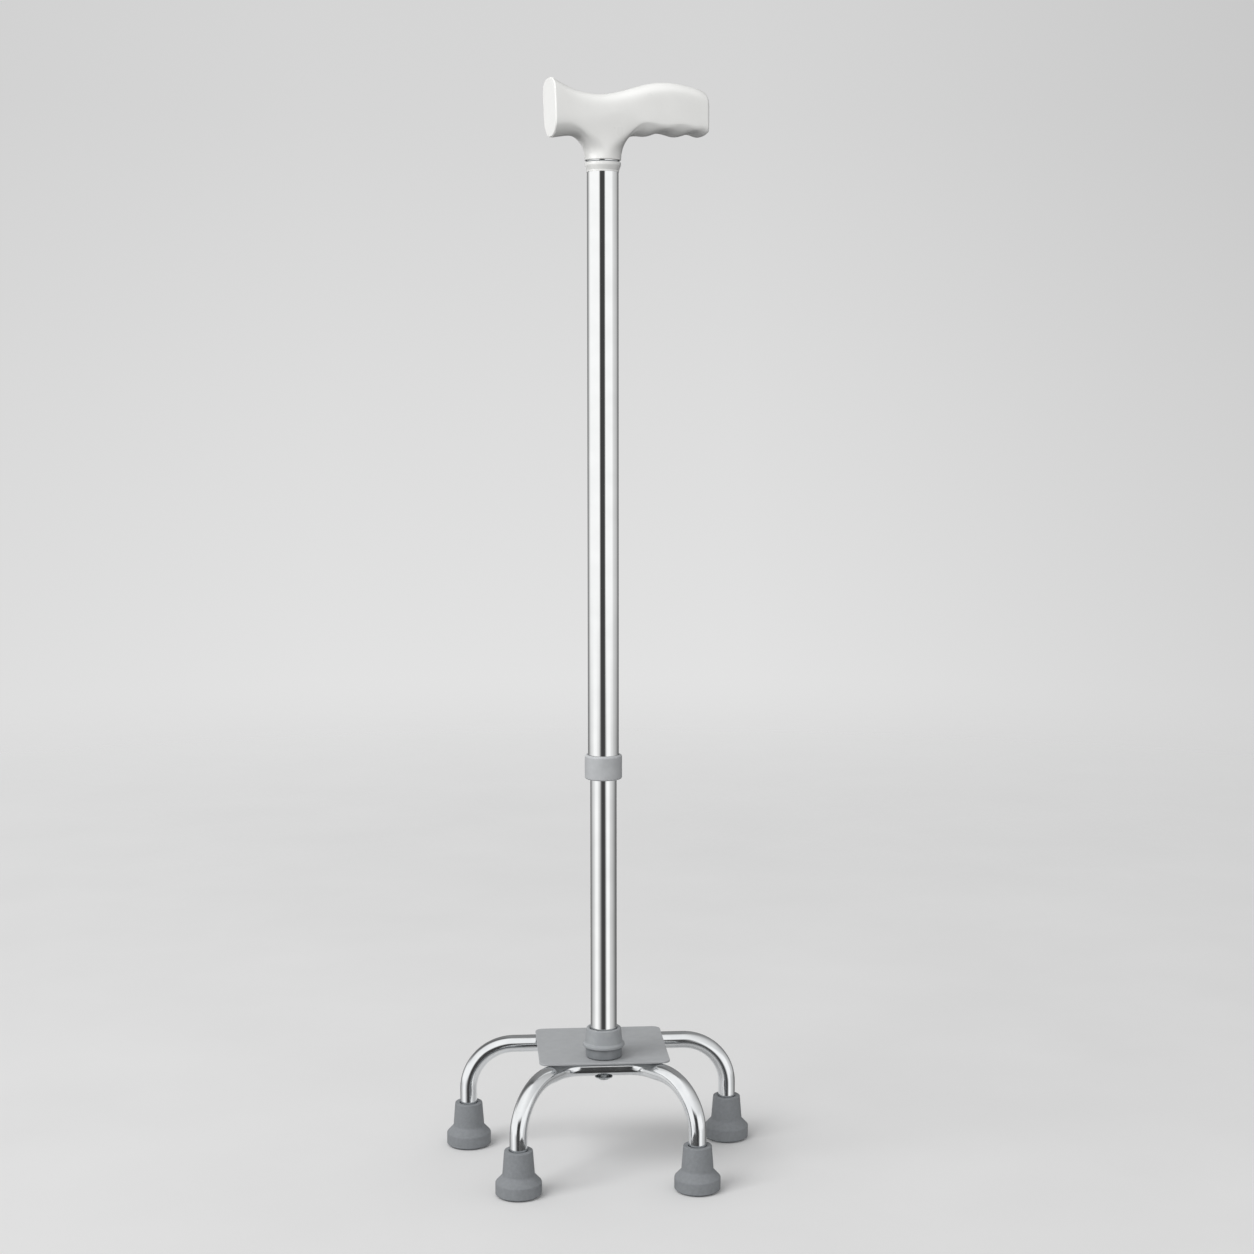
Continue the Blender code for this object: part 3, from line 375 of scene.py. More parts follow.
def link_up(tree, shader, tone, rough=None, relief=None):
    """Links patterns to a shader.

    The tone is a pattern and its ramp's stops, the roughness what span() takes, and the relief a
    pattern, its strength and its depth.
    """
    pattern, tones = tone
    stops = [(at, colour(code)) for at, code in tones]
    mixed = node(tree, "ShaderNodeValToRGB", {"Fac": pattern}, stops=stops)
    tree.links.new(mixed.outputs["Color"], shader.inputs["Base Color"])
    if rough:
        drift = node(tree, "ShaderNodeMapRange", span(*rough))
        tree.links.new(drift.outputs["Result"], shader.inputs["Roughness"])
    if relief:
        pattern, strength, depth = relief
        inputs = {"Strength": strength, "Distance": depth, "Height": pattern}
        bump = node(tree, "ShaderNodeBump", inputs)
        tree.links.new(bump.outputs["Normal"], shader.inputs["Normal"])


def mottled(name, cloud, tones, rough=None, grain=None, relief=None, **shader_values):
    """A finish from one noise, and a finer one for its relief if it has a grain of its own."""
    finish, tree, shader, place = new_finish(name, **shader_values)
    coarse = node(tree, "ShaderNodeTexNoise", {"Vector": place, **cloud}).outputs["Fac"]
    fine = coarse
    if grain:
        fine = node(tree, "ShaderNodeTexNoise", {"Vector": place, **grain}).outputs["Fac"]
    rough = (coarse, 0.3, 0.7, *rough) if rough else None
    relief = (fine, *relief) if relief else None
    link_up(tree, shader, (coarse, tones), rough, relief)
    print("finish:", finish.name)
    return finish


# %% [markdown]
# ### Moulded ABS, white
#
# The handle and its trim ring are injection moulded from ABS, a hard plastic. A polished mould
# leaves it glossy, with a faint orange-peel ripple of about a millimetre and a half. Hands
# dull it slightly in patches, so the roughness drifts. The white is a little warm, and a thin
# coat gives the sharper shine of the mould's skin.

# %% Make the white ABS
white_abs = mottled(
    "moulded_white_abs",
    cloud={"Scale": 45.0, "Detail": 3.0},
    tones=[(0.35, "#E2E2E0"), (0.7, "#E6E6E4")],
    rough=(0.27, 0.38),
    grain={"Scale": 650.0, "Detail": 1.0},
    relief=(0.12, 0.02 * MM),
    IOR=1.54,
    Coat_Weight=0.25,
    Coat_Roughness=0.12,
)

# %% [markdown]
# ### Polished aluminium tube
#
# The stem is drawn aluminium tube, polished and clear anodised. Drawing pulls the metal through
# a die, which leaves hair-fine lines along the tube. They are finer than a pixel, so they are
# drawn a quarter of a millimetre wide, very weak. They stretch the reflections a little and
# keep the tube from looking like glass.

# %% Make the polished aluminium
polished_aluminium, tree, shader, place = new_finish("drawn_polished_aluminium", Metallic=1.0)
along = node(tree, "ShaderNodeMapping", {"Vector": place, "Scale": (4000.0, 4000.0, 14.0)})
stretched = {"Vector": along.outputs[0], "Scale": 1.0, "Detail": 2.0}
cloudy = {"Vector": place, "Scale": 60.0, "Detail": 4.0}
lines = node(tree, "ShaderNodeTexNoise", stretched).outputs["Fac"]
haze = node(tree, "ShaderNodeTexNoise", cloudy).outputs["Fac"]
tones = [(0.35, "#EAEBEB"), (0.65, "#EFF0F0")]
rough, relief = (lines, 0.25, 0.75, 0.03, 0.06), (lines, 0.05, 0.004 * MM)
link_up(tree, shader, (haze, tones), rough, relief)
print("finish:", polished_aluminium.name)

# %% [markdown]
# ### Chromed steel tube
#
# The legs are bent steel tube, ground, polished and chrome plated. Bending and plating leave a
# slight waviness and a faint haze, so their reflections are softer than the stem's.

# %% Make the chrome
chrome = mottled(
    "chromed_steel_tube",
    cloud={"Scale": 90.0, "Detail": 4.0},
    tones=[(0.35, "#E2E4E6"), (0.65, "#E9EBEC")],
    rough=(0.08, 0.14),
    relief=(0.15, 0.02 * MM),
    Metallic=1.0,
)

# %% [markdown]
# ### Grey rubber
#
# The feet are moulded rubber, filled grey so that they don't mark floors. The mould is matt,
# and rubber keeps dust, so the colour is mottled on a scale of a few millimetres. The grain is
# about half a millimetre, drawn a little coarser than the real one.

# %% Make the rubber
grey_rubber = mottled(
    "moulded_grey_rubber",
    cloud={"Scale": 420.0, "Detail": 5.0, "Roughness": 0.7},
    tones=[(0.3, "#74777A"), (0.7, "#808386")],
    rough=(0.55, 0.7),
    grain={"Scale": 1500.0, "Detail": 2.0},
    relief=(0.35, 0.05 * MM),
    IOR=1.5,
    Specular_IOR_Level=0.4,
)

# %% [markdown]
# ### Grey moulded plastic
#
# The collars are moulded nylon in a fine-etched mould: half matt, with a grain too small to
# count but enough to soften the lamps into broad pale patches. The darkest grey is partly
# painted shade: it darkens the seat ring further, for the shade under the socket's lip, and the
# neck trim's notch, for the shade of the joint.

# %% Make the grey plastics


def etched_nylon(name, darker, paler):
    """Moulded nylon with a fine-etched skin, in one of the greys."""
    return mottled(
        name,
        cloud={"Scale": 160.0, "Detail": 4.0},
        tones=[(0.35, darker), (0.7, paler)],
        grain={"Scale": 2200.0, "Detail": 1.0},
        relief=(0.25, 0.03 * MM),
        Roughness=0.42,
        IOR=1.53,
    )


grey_nylon = etched_nylon("etched_grey_nylon", "#8D9093", "#949799")
pale_nylon = etched_nylon("etched_pale_grey_nylon", "#A9ABAD", "#B1B3B5")
# the darkest grey is partly painted shade, for the seat ring and the trim's notch
dark_nylon_with_painted_shade = etched_nylon("etched_dark_grey_nylon_painted_shade", "#727578", "#797C7F")

# %% [markdown]
# ### Powder coat
#
# The plate is sheet steel with a baked grey powder coat. The powder melts into a skin with soft
# dimples one to two millimetres across, and its tone is slightly cloudy.

# %% Make the powder coat
powder_coat = mottled(
    "grey_powder_coat",
    cloud={"Scale": 180.0, "Detail": 4.0},
    tones=[(0.35, "#9A9C9E"), (0.7, "#9FA1A3")],
    grain={"Scale": 700.0, "Detail": 1.0},
    relief=(0.25, 0.03 * MM),
    Roughness=0.5,
    IOR=1.5,
    Specular_IOR_Level=0.35,
)

# %% [markdown]
# ### Zinc-plated steel
#
# Bolt, washer, button and rivet are bright zinc plated, and so are the plug, pin and discs that
# don't show. Zinc is a soft grey metal whose fine crystals scatter light, so it is brighter than
# steel but never a mirror.

# %% Make the zinc plating
zinc, tree, shader, place = new_finish("bright_zinc_plating", Metallic=1.0)
crystals = node(tree, "ShaderNodeTexVoronoi", {"Vector": place, "Scale": 900.0}).outputs
tones = [(0.2, "#BFC2C4"), (0.8, "#CDD0D1")]
rough = (crystals["Distance"], 0.0, 0.8, 0.36, 0.48)
link_up(tree, shader, (crystals["Color"], tones), rough)
print("finish:", zinc.name)

# %% [markdown]
# ### Weld metal
#
# A weld bead freezes in small steps, which leaves ripples like stacked coins, and its heat
# tints the steel faintly straw. The ripples are modelled, so the material adds only the tint
# and some spatter-fine roughness.

# %% Make the weld metal
weld_metal = mottled(
    "rippled_weld_steel",
    cloud={"Scale": 260.0, "Detail": 4.0},
    tones=[(0.35, "#A7A59F"), (0.7, "#B9BABA")],
    relief=(0.4, 0.05 * MM),
    Metallic=1.0,
    Roughness=0.36,
)

# %% [markdown]
# ### Natural nylon and spring steel
#
# The bush and the handle's plug are uncoloured nylon: milky, slightly yellow, a little
# see-through. The spring is dark tempered steel. Both are hidden in the finished cane and are
# seen only when it is taken apart, so their finishes are short.

# %% Make the hidden finishes
natural_nylon = mottled(
    "natural_nylon",
    cloud={"Scale": 200.0, "Detail": 2.0},
    tones=[(0.35, "#DAD6C8"), (0.7, "#E2DFD3")],
    Roughness=0.45,
    IOR=1.53,
    Subsurface_Weight=0.15,
    Subsurface_Scale=1.0 * MM,
)
spring_steel = mottled(
    "tempered_spring_steel",
    cloud={"Scale": 120.0, "Detail": 3.0},
    tones=[(0.35, "#6B6C70"), (0.7, "#85858A")],
    Metallic=1.0,
    Roughness=0.34,
)

# %% [markdown]
# ## Tools for modelling
#
# The next cell gathers the few moves that come back for every piece: picking points by where
# they are, adding a modifier, cutting a hole, and putting a finished piece in its place. Each is
# made of plain Blender operators, as a person would click them.

# %% Selecting, smoothing and cutting


def deselect_all():
    """Leaves edit mode and selects nothing."""
    if bpy.context.mode != "OBJECT":
        bpy.ops.object.mode_set(mode="OBJECT")
    bpy.ops.object.select_all(action="DESELECT")


def use(piece):
    """Makes a piece the one that the next operators change."""
    deselect_all()
    piece.select_set(True)
    bpy.context.view_layer.objects.active = piece


def pick(piece, kind, test):
    """In edit mode, selects the verts, edges or faces that pass the test. Gives their number."""
    bpy.ops.mesh.select_mode(type={"verts": "VERT", "edges": "EDGE", "faces": "FACE"}[kind])
    bpy.ops.mesh.select_all(action="DESELECT")
    mesh = bmesh.from_edit_mesh(piece.data)
    chosen = [item for item in getattr(mesh, kind) if test(item)]
    for item in chosen:
        item.select_set(True)
    mesh.select_flush_mode()
    bmesh.update_edit_mesh(piece.data)
    return len(chosen)


def newest(name):
    """Gives back the object that was just added, and names it and its mesh."""
    piece = bpy.context.object
    piece.name = piece.data.name = name
    return piece


def face_outwards():
    """In edit mode, selects the whole piece and turns its faces outwards."""
    bpy.ops.mesh.select_all(action="SELECT")
    bpy.ops.mesh.normals_make_consistent(inside=False)


def modify(piece, kind, **settings):
    """Adds a modifier to the active piece, sets it up, and makes its change part of the mesh."""
    bpy.ops.object.modifier_add(type=kind)
    change = piece.modifiers[-1]
    for name, value in settings.items():
        setattr(change, name, value)
    bpy.ops.object.modifier_apply(modifier=change.name)


def cut(piece, tool):
    """Cuts the shape of the tool out of the piece, and throws the tool away."""
    use(piece)
    modify(piece, "BOOLEAN", operation="DIFFERENCE", solver="EXACT", object=tool)
    bpy.data.objects.remove(tool)


def drill(piece, radius, start, end, sides=48):
    """Drills a round hole between two points."""
    way = end - start
    deselect_all()
    bpy.ops.mesh.primitive_cylinder_add(
        vertices=sides,
        radius=radius,
        depth=way.length,
        location=(start + end) / 2,
        rotation=way.to_track_quat("Z", "Y").to_euler(),
    )
    cut(piece, bpy.context.object)


def fit(piece, finish, slot, body, *nodes, sharp=30, weighted=True):
    """Smooths a finished piece, gives it its finish, and puts it in the place of CAD parts."""
    use(piece)
    bpy.ops.object.shade_smooth_by_angle(angle=math.radians(sharp))
    if weighted:
        modify(piece, "WEIGHTED_NORMAL", keep_sharp=True)
    piece.data.materials.clear()
    piece.data.materials.append(finish)
    if not finish.node_tree.nodes["Principled BSDF"].inputs["Metallic"].default_value:
        plastic_parts.objects.link(piece)  # for the lamps near the handle
    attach(piece, body)
    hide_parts(*nodes)
    size = [round(side / MM, 1) for side in piece.dimensions]
    print(f"{piece.name}: {len(piece.data.polygons)} faces, {size} mm")


# %% [markdown]
# ## Turned parts
#
# Collars, feet, tubes and bolts are all round, and a real one is turned on a lathe or moulded
# in a turned mould. The same idea works here: half the section is drawn as a line, its corners
# are rounded, and it is spun once round its axis. A stack of cylinders could also be joined,
# but then each step would need its own bevel, and the section would be hard to read or change.

# %% Draw a section and spin it
UP = Vector((0, 0, 1))
STEM_TURN = math.radians(15)
ALONG_GRIP = Vector((math.cos(STEM_TURN), math.sin(STEM_TURN), 0))
BACK = Vector((-math.sin(STEM_TURN), math.cos(STEM_TURN), 0))


def draw_line(name, places, closed):
    """A line from place to place, drawn by extruding a single vertex."""
    deselect_all()
    bpy.ops.mesh.primitive_plane_add(size=MM, location=(0, 0, 0))
    piece = newest(name)
    bpy.ops.object.mode_set(mode="EDIT")
    bpy.ops.mesh.select_mode(type="VERT")
    bpy.ops.mesh.merge(type="CENTER")
    bpy.ops.transform.translate(value=places[0])
    for here, there in zip(places, places[1:]):
        bpy.ops.mesh.extrude_region_move(TRANSFORM_OT_translate={"value": there - here})
    if closed:
        pick(piece, "verts", lambda vert: len(vert.link_edges) == 1)
        bpy.ops.mesh.edge_face_add()
    return piece


def turned(name, outline, foot=STEM, axis=UP, out=ALONG_GRIP, sides=96, steps=4):
    """Spins a section. Each corner is (distance from the axis, height along it, rounding)."""
    places = [foot + axis * height + out * distance for distance, height, _ in outline]
    piece = draw_line(name, places, closed=min(corner[0] for corner in outline) > 0)
    for i, (_, _, radius) in enumerate(outline):
        if radius:
            here = places[i]
            before, after = places[i - 1] - here, places[(i + 1) % len(places)] - here
            pick(piece, "verts", lambda vert: (vert.co - here).length < 0.002 * MM)
            bpy.ops.mesh.bevel(
                offset=radius / math.tan(before.angle(after) / 2),
                offset_type="OFFSET",
                segments=steps,
                affect="VERTICES",
            )
    bpy.ops.mesh.select_all(action="SELECT")
    bpy.ops.mesh.spin(
        steps=sides, angle=math.tau, center=foot, axis=axis, use_auto_merge=True
    )
    bpy.ops.mesh.select_all(action="SELECT")
    bpy.ops.mesh.remove_doubles(threshold=0.001 * MM)
    face_outwards()
    bpy.ops.object.mode_set(mode="OBJECT")
    return piece


def levels(node_name):
    """Bottom and top of a CAD part that stands on the stem's axis, and its outer radius."""
    low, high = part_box(node_name)
    return low.z, high.z, (high.x - low.x) / 2


print("the stem turns", round(math.degrees(STEM_TURN)), "degrees on the base")

# %% [markdown]
# ## The rubber feet
#
# A ferrule is a thick rubber cup pushed onto the tube's end. It has an upright side, a rounded
# shoulder and a cone that grips the tube, and a ring groove in the sole for hold on wet floors.
# The sole is a little narrower than the side, so each foot stands on a thin line of shadow. One
# is turned and the other three are copies with their own meshes, moved to their legs.

# %% Turn one foot and copy it
LEG_RADIUS = 6.35 * MM
FOOT_PLACES = {
    "front_left": Vector((-64 * MM, -54 * MM, 0)),
    "front_right": Vector((64 * MM, -54 * MM, 0)),
    "rear_left": Vector((-98.5 * MM, 54 * MM, 0)),
    "rear_right": Vector((98.5 * MM, 54 * MM, 0)),
}
low, top_of_foot, foot_radius = levels("ferrule_front_left")
foot_bore = LEG_RADIUS + 0.3 * MM
foot_section = [
    (0, 0, 0),
    (8 * MM, 0, 0.3 * MM),
    (8.5 * MM, 1.4 * MM, 0.3 * MM),
    (11 * MM, 1.4 * MM, 0.3 * MM),
    (11.5 * MM, 0, 0.3 * MM),
    (foot_radius - 1.6 * MM, 0, 0.2 * MM),
    (foot_radius - 1.6 * MM, 0.9 * MM, 0.1 * MM),
    (foot_radius, 1.3 * MM, 0.3 * MM),
    (foot_radius, 9.5 * MM, 1.3 * MM),
    (foot_bore + 5.0 * MM, 14.8 * MM, 2.4 * MM),
    (foot_bore + 3.6 * MM, top_of_foot, 0.8 * MM),
    (foot_bore, top_of_foot, 0.6 * MM),
    (foot_bore, 6 * MM, 0.4 * MM),
    (0, 6 * MM, 0),
]
first_place = FOOT_PLACES["front_left"]
first_foot = turned(
    "rubber_foot_front_left", foot_section, foot=first_place, out=Vector((1, 0, 0)), sides=72
)
feet = {"front_left": first_foot}
for corner, spot in FOOT_PLACES.items():
    if corner not in feet:
        use(first_foot)
        bpy.ops.object.duplicate()
        copy = newest(f"rubber_foot_{corner}")
        copy.location = spot - first_place
        bpy.ops.object.transform_apply(location=True)
        feet[corner] = copy
for corner, foot in feet.items():
    fit(foot, grey_rubber, "rubber", "base", f"ferrule_{corner}")

# %% [markdown]
# ## The bent legs
#
# Each pair of legs is one tube, bent on a tube bender. A circle is extruded straight up from
# the left foot, spun round the bend's centre, extruded again to the middle, and mirrored. A
# curve with a round bevel gives a tube too, but extruding keeps every bend an exact arc.
# Solidify then gives it its wall. Spin turns against the right-hand rule here, so its angle
# is negative.

# %% Bend the rear tube
LEG_END = 8.1 * MM
LEG_AXIS = 77.2 * MM
LEG_WALL = 1.5 * MM


def start_tube(name, foot):
    """A circle of edges at the lower end of a leg."""
    deselect_all()
    bpy.ops.mesh.primitive_circle_add(vertices=48, radius=LEG_RADIUS, location=foot)
    piece = newest(name)
    bpy.ops.object.transform_apply(location=True)
    bpy.ops.object.mode_set(mode="EDIT")
    return piece


def push(way):
    """Extrudes the selected ring straight on."""
    bpy.ops.mesh.extrude_region_move(TRANSFORM_OT_translate={"value": way})


def bend(centre, axis, angle):
    """Sweeps the selected ring round a bend, about three degrees at a time."""
    steps = round(math.degrees(angle) / 3)
    bpy.ops.mesh.spin(steps=steps, angle=-angle, center=centre, axis=axis)


def mirror_and_wall(piece):
    """Mirrors the left half of a tube to the right, and gives it its wall, inwards."""
    bpy.ops.object.mode_set(mode="OBJECT")
    modify(piece, "MIRROR", merge_threshold=0.01 * MM)
    bpy.ops.object.mode_set(mode="EDIT")
    bpy.ops.mesh.select_all(action="SELECT")
    bpy.ops.mesh.remove_doubles(threshold=0.002 * MM)
    face_outwards()
    bpy.ops.object.mode_set(mode="OBJECT")
    modify(piece, "SOLIDIFY", thickness=LEG_WALL, offset=-1, use_even_offset=True)


rear_radius = 34 * MM
foot = FOOT_PLACES["rear_left"] + UP * LEG_END
rear_leg = start_tube("rear_leg", foot)
push(UP * (LEG_AXIS - rear_radius - LEG_END))
centre = Vector((foot.x + rear_radius, foot.y, LEG_AXIS - rear_radius))
bend(centre, (0, 1, 0), math.pi / 2)
push(Vector((-foot.x - rear_radius, 0, 0)))
mirror_and_wall(rear_leg)
fit(rear_leg, chrome, "chromed_tube", "base", "rear_leg_tube")

# %% [markdown]
# The front tube bends twice on each side. Its legs lean in towards the stem, so the first bend
# turns from upright to a slanted line, and a second, flat bend turns that line into the
# straight middle under the stem. The base bolt passes through a hole there.

# %% Bend the front tube
front_radius = 36 * MM
spread_radius = 22 * MM
corner = Vector((-27 * MM, STEM.y, LEG_AXIS))
foot = FOOT_PLACES["front_left"] + UP * LEG_END
slant = Vector((corner.x - foot.x, corner.y - foot.y, 0))
length = slant.length
slant.normalize()
spread = math.atan2(slant.y, slant.x)
lead = spread_radius * math.tan(spread / 2)  # from the start of the flat bend to its corner

front_leg = start_tube("front_leg", foot)
push(UP * (LEG_AXIS - front_radius - LEG_END))
centre = foot + slant * front_radius
centre.z = LEG_AXIS - front_radius
bend(centre, UP.cross(slant), math.pi / 2)
push(slant * (length - front_radius - lead))
start = corner - slant * lead
bend(start + spread_radius * Vector((slant.y, -slant.x, 0)), (0, 0, -1), spread)
near_bolt = 5 * MM
push(Vector((-(corner.x + lead) - near_bolt, 0, 0)))
push(Vector((near_bolt, 0, 0)))
mirror_and_wall(front_leg)
bolt_hole = 3.3 * MM
drill(front_leg, bolt_hole, STEM + UP * (LEG_AXIS - 9 * MM), STEM + UP * (LEG_AXIS + 9 * MM))
fit(front_leg, chrome, "chromed_tube", "base", "front_leg_tube")

# %% [markdown]
# ## The plate
#
# The plate is stamped from sheet steel. Its corners are rounded in the stamping and its edges
# are slightly dulled by tumbling and by the paint. A block of the right size gets its four
# upright edges bevelled wide, then its rims bevelled finely, and the bolt's hole is drilled.

# %% Shape the plate
low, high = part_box("base_plate")
deselect_all()
bpy.ops.mesh.primitive_cube_add(size=1, location=(low + high) / 2, scale=high - low)
plate = newest("stamped_plate")
bpy.ops.object.transform_apply()
bpy.ops.object.mode_set(mode="EDIT")
pick(plate, "edges", lambda edge: abs(edge.verts[0].co.z - edge.verts[1].co.z) > MM)
bpy.ops.mesh.bevel(offset=6 * MM, segments=14)
rims = pick(plate, "edges", lambda edge: abs(edge.verts[0].co.z - edge.verts[1].co.z) < 0.01 * MM)
bpy.ops.mesh.bevel(offset=0.4 * MM, segments=3)
bpy.ops.object.mode_set(mode="OBJECT")
drill(plate, bolt_hole, STEM + UP * (low.z - MM), STEM + UP * (high.z + MM))
fit(plate, powder_coat, "grey_paint", "base", "base_plate")
print("edges rounded:", rims)

# %% [markdown]
# ## The welds
#
# Four short fillet welds hold the tubes to the underside of the plate. A real bead is laid in
# small overlapping puddles. Its section is drawn once, filled, and extruded in steps of 0.6 mm
# whose points swell and shrink, and a subdivision melts them into ripples. A texture could
# fake them, but the beads stand out from below, where their outline shows.

# %% Lay the weld beads


def weld_section(x, lowest, reach, behind):
    """Seven points round a bead between tube and plate, from an angle on the tube upwards."""
    near = LEG_RADIUS + 0.3 * MM
    top_angle = math.radians(67)
    turns = [lowest + (top_angle - lowest) * i / 4 for i in range(5)]
    spots = [(near * math.cos(turn), near * math.sin(turn)) for turn in turns]
    foot_y, foot_z = spots[0]
    spots.append((foot_y + reach, LEG_RADIUS))
    spots.append((foot_y + reach * 0.75, (foot_z + LEG_RADIUS) / 2))
    return [Vector((x, behind * y, LEG_AXIS + z)) for y, z in spots]


def extrude_to(piece, old, new):
    """Extrudes what is selected, and moves each of its points to its new place."""
    step = sum(new, Vector()) / len(new) - sum(old, Vector()) / len(old)
    bpy.ops.mesh.extrude_region_move(TRANSFORM_OT_translate={"value": step})
    mesh = bmesh.from_edit_mesh(piece.data)
    for vert in [vert for vert in mesh.verts if vert.select]:
        k = min(range(len(old)), key=lambda i: (old[i] + step - vert.co).length)
        vert.co = new[k]
    bmesh.update_edit_mesh(piece.data)


def weld_bead(name, middle, length, row_y, behind):
    """A rippled bead along X whose ends taper out."""
    count = round(length / (0.6 * MM))
    rings = []
    for i in range(count + 1):
        share = abs(2 * i / count - 1)
        full = 1 - max(share - 0.55, 0) / 0.45  # 1 in the middle, 0 at the ends
        swell = full * (1.0 if i % 2 else 0.86)
        lowest = math.radians(38 - 24 * swell)
        reach = (1.0 + 2.0 * swell) * MM
        x = middle + length * (i / count - 0.5)
        rings.append([p + Vector((0, row_y, 0)) for p in weld_section(x, lowest, reach, behind)])
    piece = draw_line(name, rings[0], closed=True)
    bpy.ops.mesh.select_all(action="SELECT")
    bpy.ops.mesh.edge_face_add()
    for old, new in zip(rings, rings[1:]):
        extrude_to(piece, old, new)
    face_outwards()
    bpy.ops.object.mode_set(mode="OBJECT")
    modify(piece, "SUBSURF", levels=2)
    return piece


for side, sign in (("left", -1), ("right", 1)):
    bead = weld_bead(f"weld_bead_rear_{side}", sign * 34 * MM, 18 * MM, 54 * MM, -1)
    fit(bead, weld_metal, "zinc_steel", "base", f"weld_rear_{side}", sharp=60)
    bead = weld_bead(f"weld_bead_front_{side}", sign * 11 * MM, 9 * MM, STEM.y, 1)
    fit(bead, weld_metal, "zinc_steel", "base", f"weld_front_{side}", sharp=60)

# %% [markdown]
# ## The base bolt and its washer
#
# A low button-head bolt comes up from below through the front tube and the plate into the
# stem. Its head is turned as a dome, and a six-sided tool cuts the socket for the key.

# %% Turn the bolt and washer
BOLT_RADIUS, KEY_SOCKET = 3 * MM, 2 * MM

low, tip, head_radius = levels("base_bolt")
head_top = low + 1.6 * MM
bolt = turned(
    "button_head_bolt",
    [
        (0, low, 0),
        (head_radius * 0.62, low, 2.2 * MM),
        (head_radius, head_top - 0.35 * MM, 0.15 * MM),
        (head_radius, head_top, 0.15 * MM),
        (BOLT_RADIUS, head_top, 0),
        (BOLT_RADIUS, tip, 0.5 * MM),
        (0, tip, 0),
    ],
    sides=64,
)
drill(bolt, KEY_SOCKET, STEM + UP * (low - MM), STEM + UP * (low + MM), sides=6)
fit(bolt, zinc, "zinc_steel", "base", "base_bolt")

low, high, washer_radius = levels("bolt_washer")
washer = turned(
    "bolt_washer_ring",
    [
        (bolt_hole, low, 0.15 * MM),
        (washer_radius, low, 0.25 * MM),
        (washer_radius, high, 0.25 * MM),
        (bolt_hole, high, 0.15 * MM),
    ],
    sides=64,
)
fit(washer, zinc, "zinc_steel", "base", "bolt_washer")

# %% [markdown]
# ## The seat ring and the base socket
# The lower tube stands in a ring on the plate, and a collar with a small lip is pushed down
# over it. Both are round mouldings. Their edges are rounded by a millimetre or less, which is
# enough to catch a thin line of light. The ring takes the darkest nylon, partly a darker grey of
# its own and partly painted shade under the lip.

# %% Turn the seat ring and the socket
UPPER_RADIUS, LOWER_RADIUS = 11.11 * MM, 19.05 / 2 * MM
TUBE_WALL = 1.2 * MM
PUSH_GAP = 0.3 * MM  # between a tube and what is pushed onto it

stem_bore = LOWER_RADIUS + PUSH_GAP
low, high, outer = levels("seat_ring")
seat = turned(
    "stem_seat",
    [
        (bolt_hole, low, 0),
        (outer, low, 1.0 * MM),
        (outer, high, 0.3 * MM),
        (stem_bore, high, 0.2 * MM),
        (stem_bore, low + 2 * MM, 0.2 * MM),
        (bolt_hole, low + 2 * MM, 0),
    ],
)
# the darker nylon here is partly painted shade, the shade under the socket's lip
fit(seat, dark_nylon_with_painted_shade, "grey_plastic", "base", "seat_ring")

low, high, lip = levels("base_socket")
socket = turned(
    "stem_socket",
    [
        (stem_bore, low, 0.2 * MM),
        (lip, low, 0.7 * MM),
        (lip, low + 2 * MM, 0.9 * MM),
        (stem_bore + 3.9 * MM, low + 3.2 * MM, 1.0 * MM),
        (stem_bore + 2.7 * MM, high, 0.8 * MM),
        (stem_bore + 0.9 * MM, high, 0.3 * MM),
        (stem_bore, high - 0.9 * MM, 0.3 * MM),
    ],
    steps=5,
)
fit(socket, grey_nylon, "grey_plastic", "base", "base_socket")

# %% [markdown]
# ## The two stem tubes
#
# The lower tube slides inside the upper one. Both are turned from a thin section with slightly
# broken edges. The upper tube has a row of seven holes down its back, one inch apart, and the
# rivet's hole above them. The section gets extra points above and below each hole, so a hole
# only disturbs a short band of faces and the polish stays clean beside it.

# %% Turn the lower tube


def middle_height(node_name):
    """Height of the middle of a CAD part."""
    low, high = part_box(node_name)
    return (low.z + high.z) / 2


def tube_section(low, high, radius, drilled):
    """A tube's wall with broken edges, and extra points 5 mm above and below each hole."""
    section = [(radius - TUBE_WALL, low, 0.2 * MM), (radius, low, 0.3 * MM)]
    for height in drilled:
        section += [(radius, height - 5 * MM, 0), (radius, height + 5 * MM, 0)]
    return section + [(radius, high, 0.3 * MM), (radius - TUBE_WALL, high, 0.2 * MM)]


button_height, pin_height = middle_height("snap_button"), middle_height("plug_pin")
button_hole, pin_hole = 3.6 * MM, 1.8 * MM  # radii
to_back, to_side = BACK * 20 * MM, ALONG_GRIP * 20 * MM
low, high, radius = levels("lower_tube")
section = tube_section(low, high, radius, [button_height])
lower_tube = turned("lower_stem_tube", section, sides=128)
at_button, at_pin = STEM + UP * button_height, STEM + UP * pin_height
drill(lower_tube, button_hole, at_button, at_button + to_back)
drill(lower_tube, pin_hole, at_pin - to_side, at_pin + to_side)
fit(lower_tube, polished_aluminium, "aluminium", "base", "lower_tube")

# %% Turn the upper tube and drill its holes
HOLE_PITCH = 25.4 * MM
HOLES, BUTTON_IN_HOLE = 7, 4  # counted from 0 at the lowest hole
RIVET_HOLE = 1.9 * MM

hole_heights = [button_height + (i - BUTTON_IN_HOLE) * HOLE_PITCH for i in range(HOLES)]
rivet_height = middle_height("handle_rivet")
low, high, radius = levels("upper_tube")
section = tube_section(low, high, radius, hole_heights + [rivet_height])
upper_tube = turned("upper_stem_tube", section, sides=128)
for height in hole_heights:
    drill(upper_tube, button_hole, STEM + UP * height, STEM + UP * height + to_back)
at_rivet = STEM + UP * rivet_height
drill(upper_tube, RIVET_HOLE, at_rivet, at_rivet + to_back)
fit(upper_tube, polished_aluminium, "aluminium", "upper", "upper_tube")
print("holes in mm:", [round(height / MM, 1) for height in hole_heights])

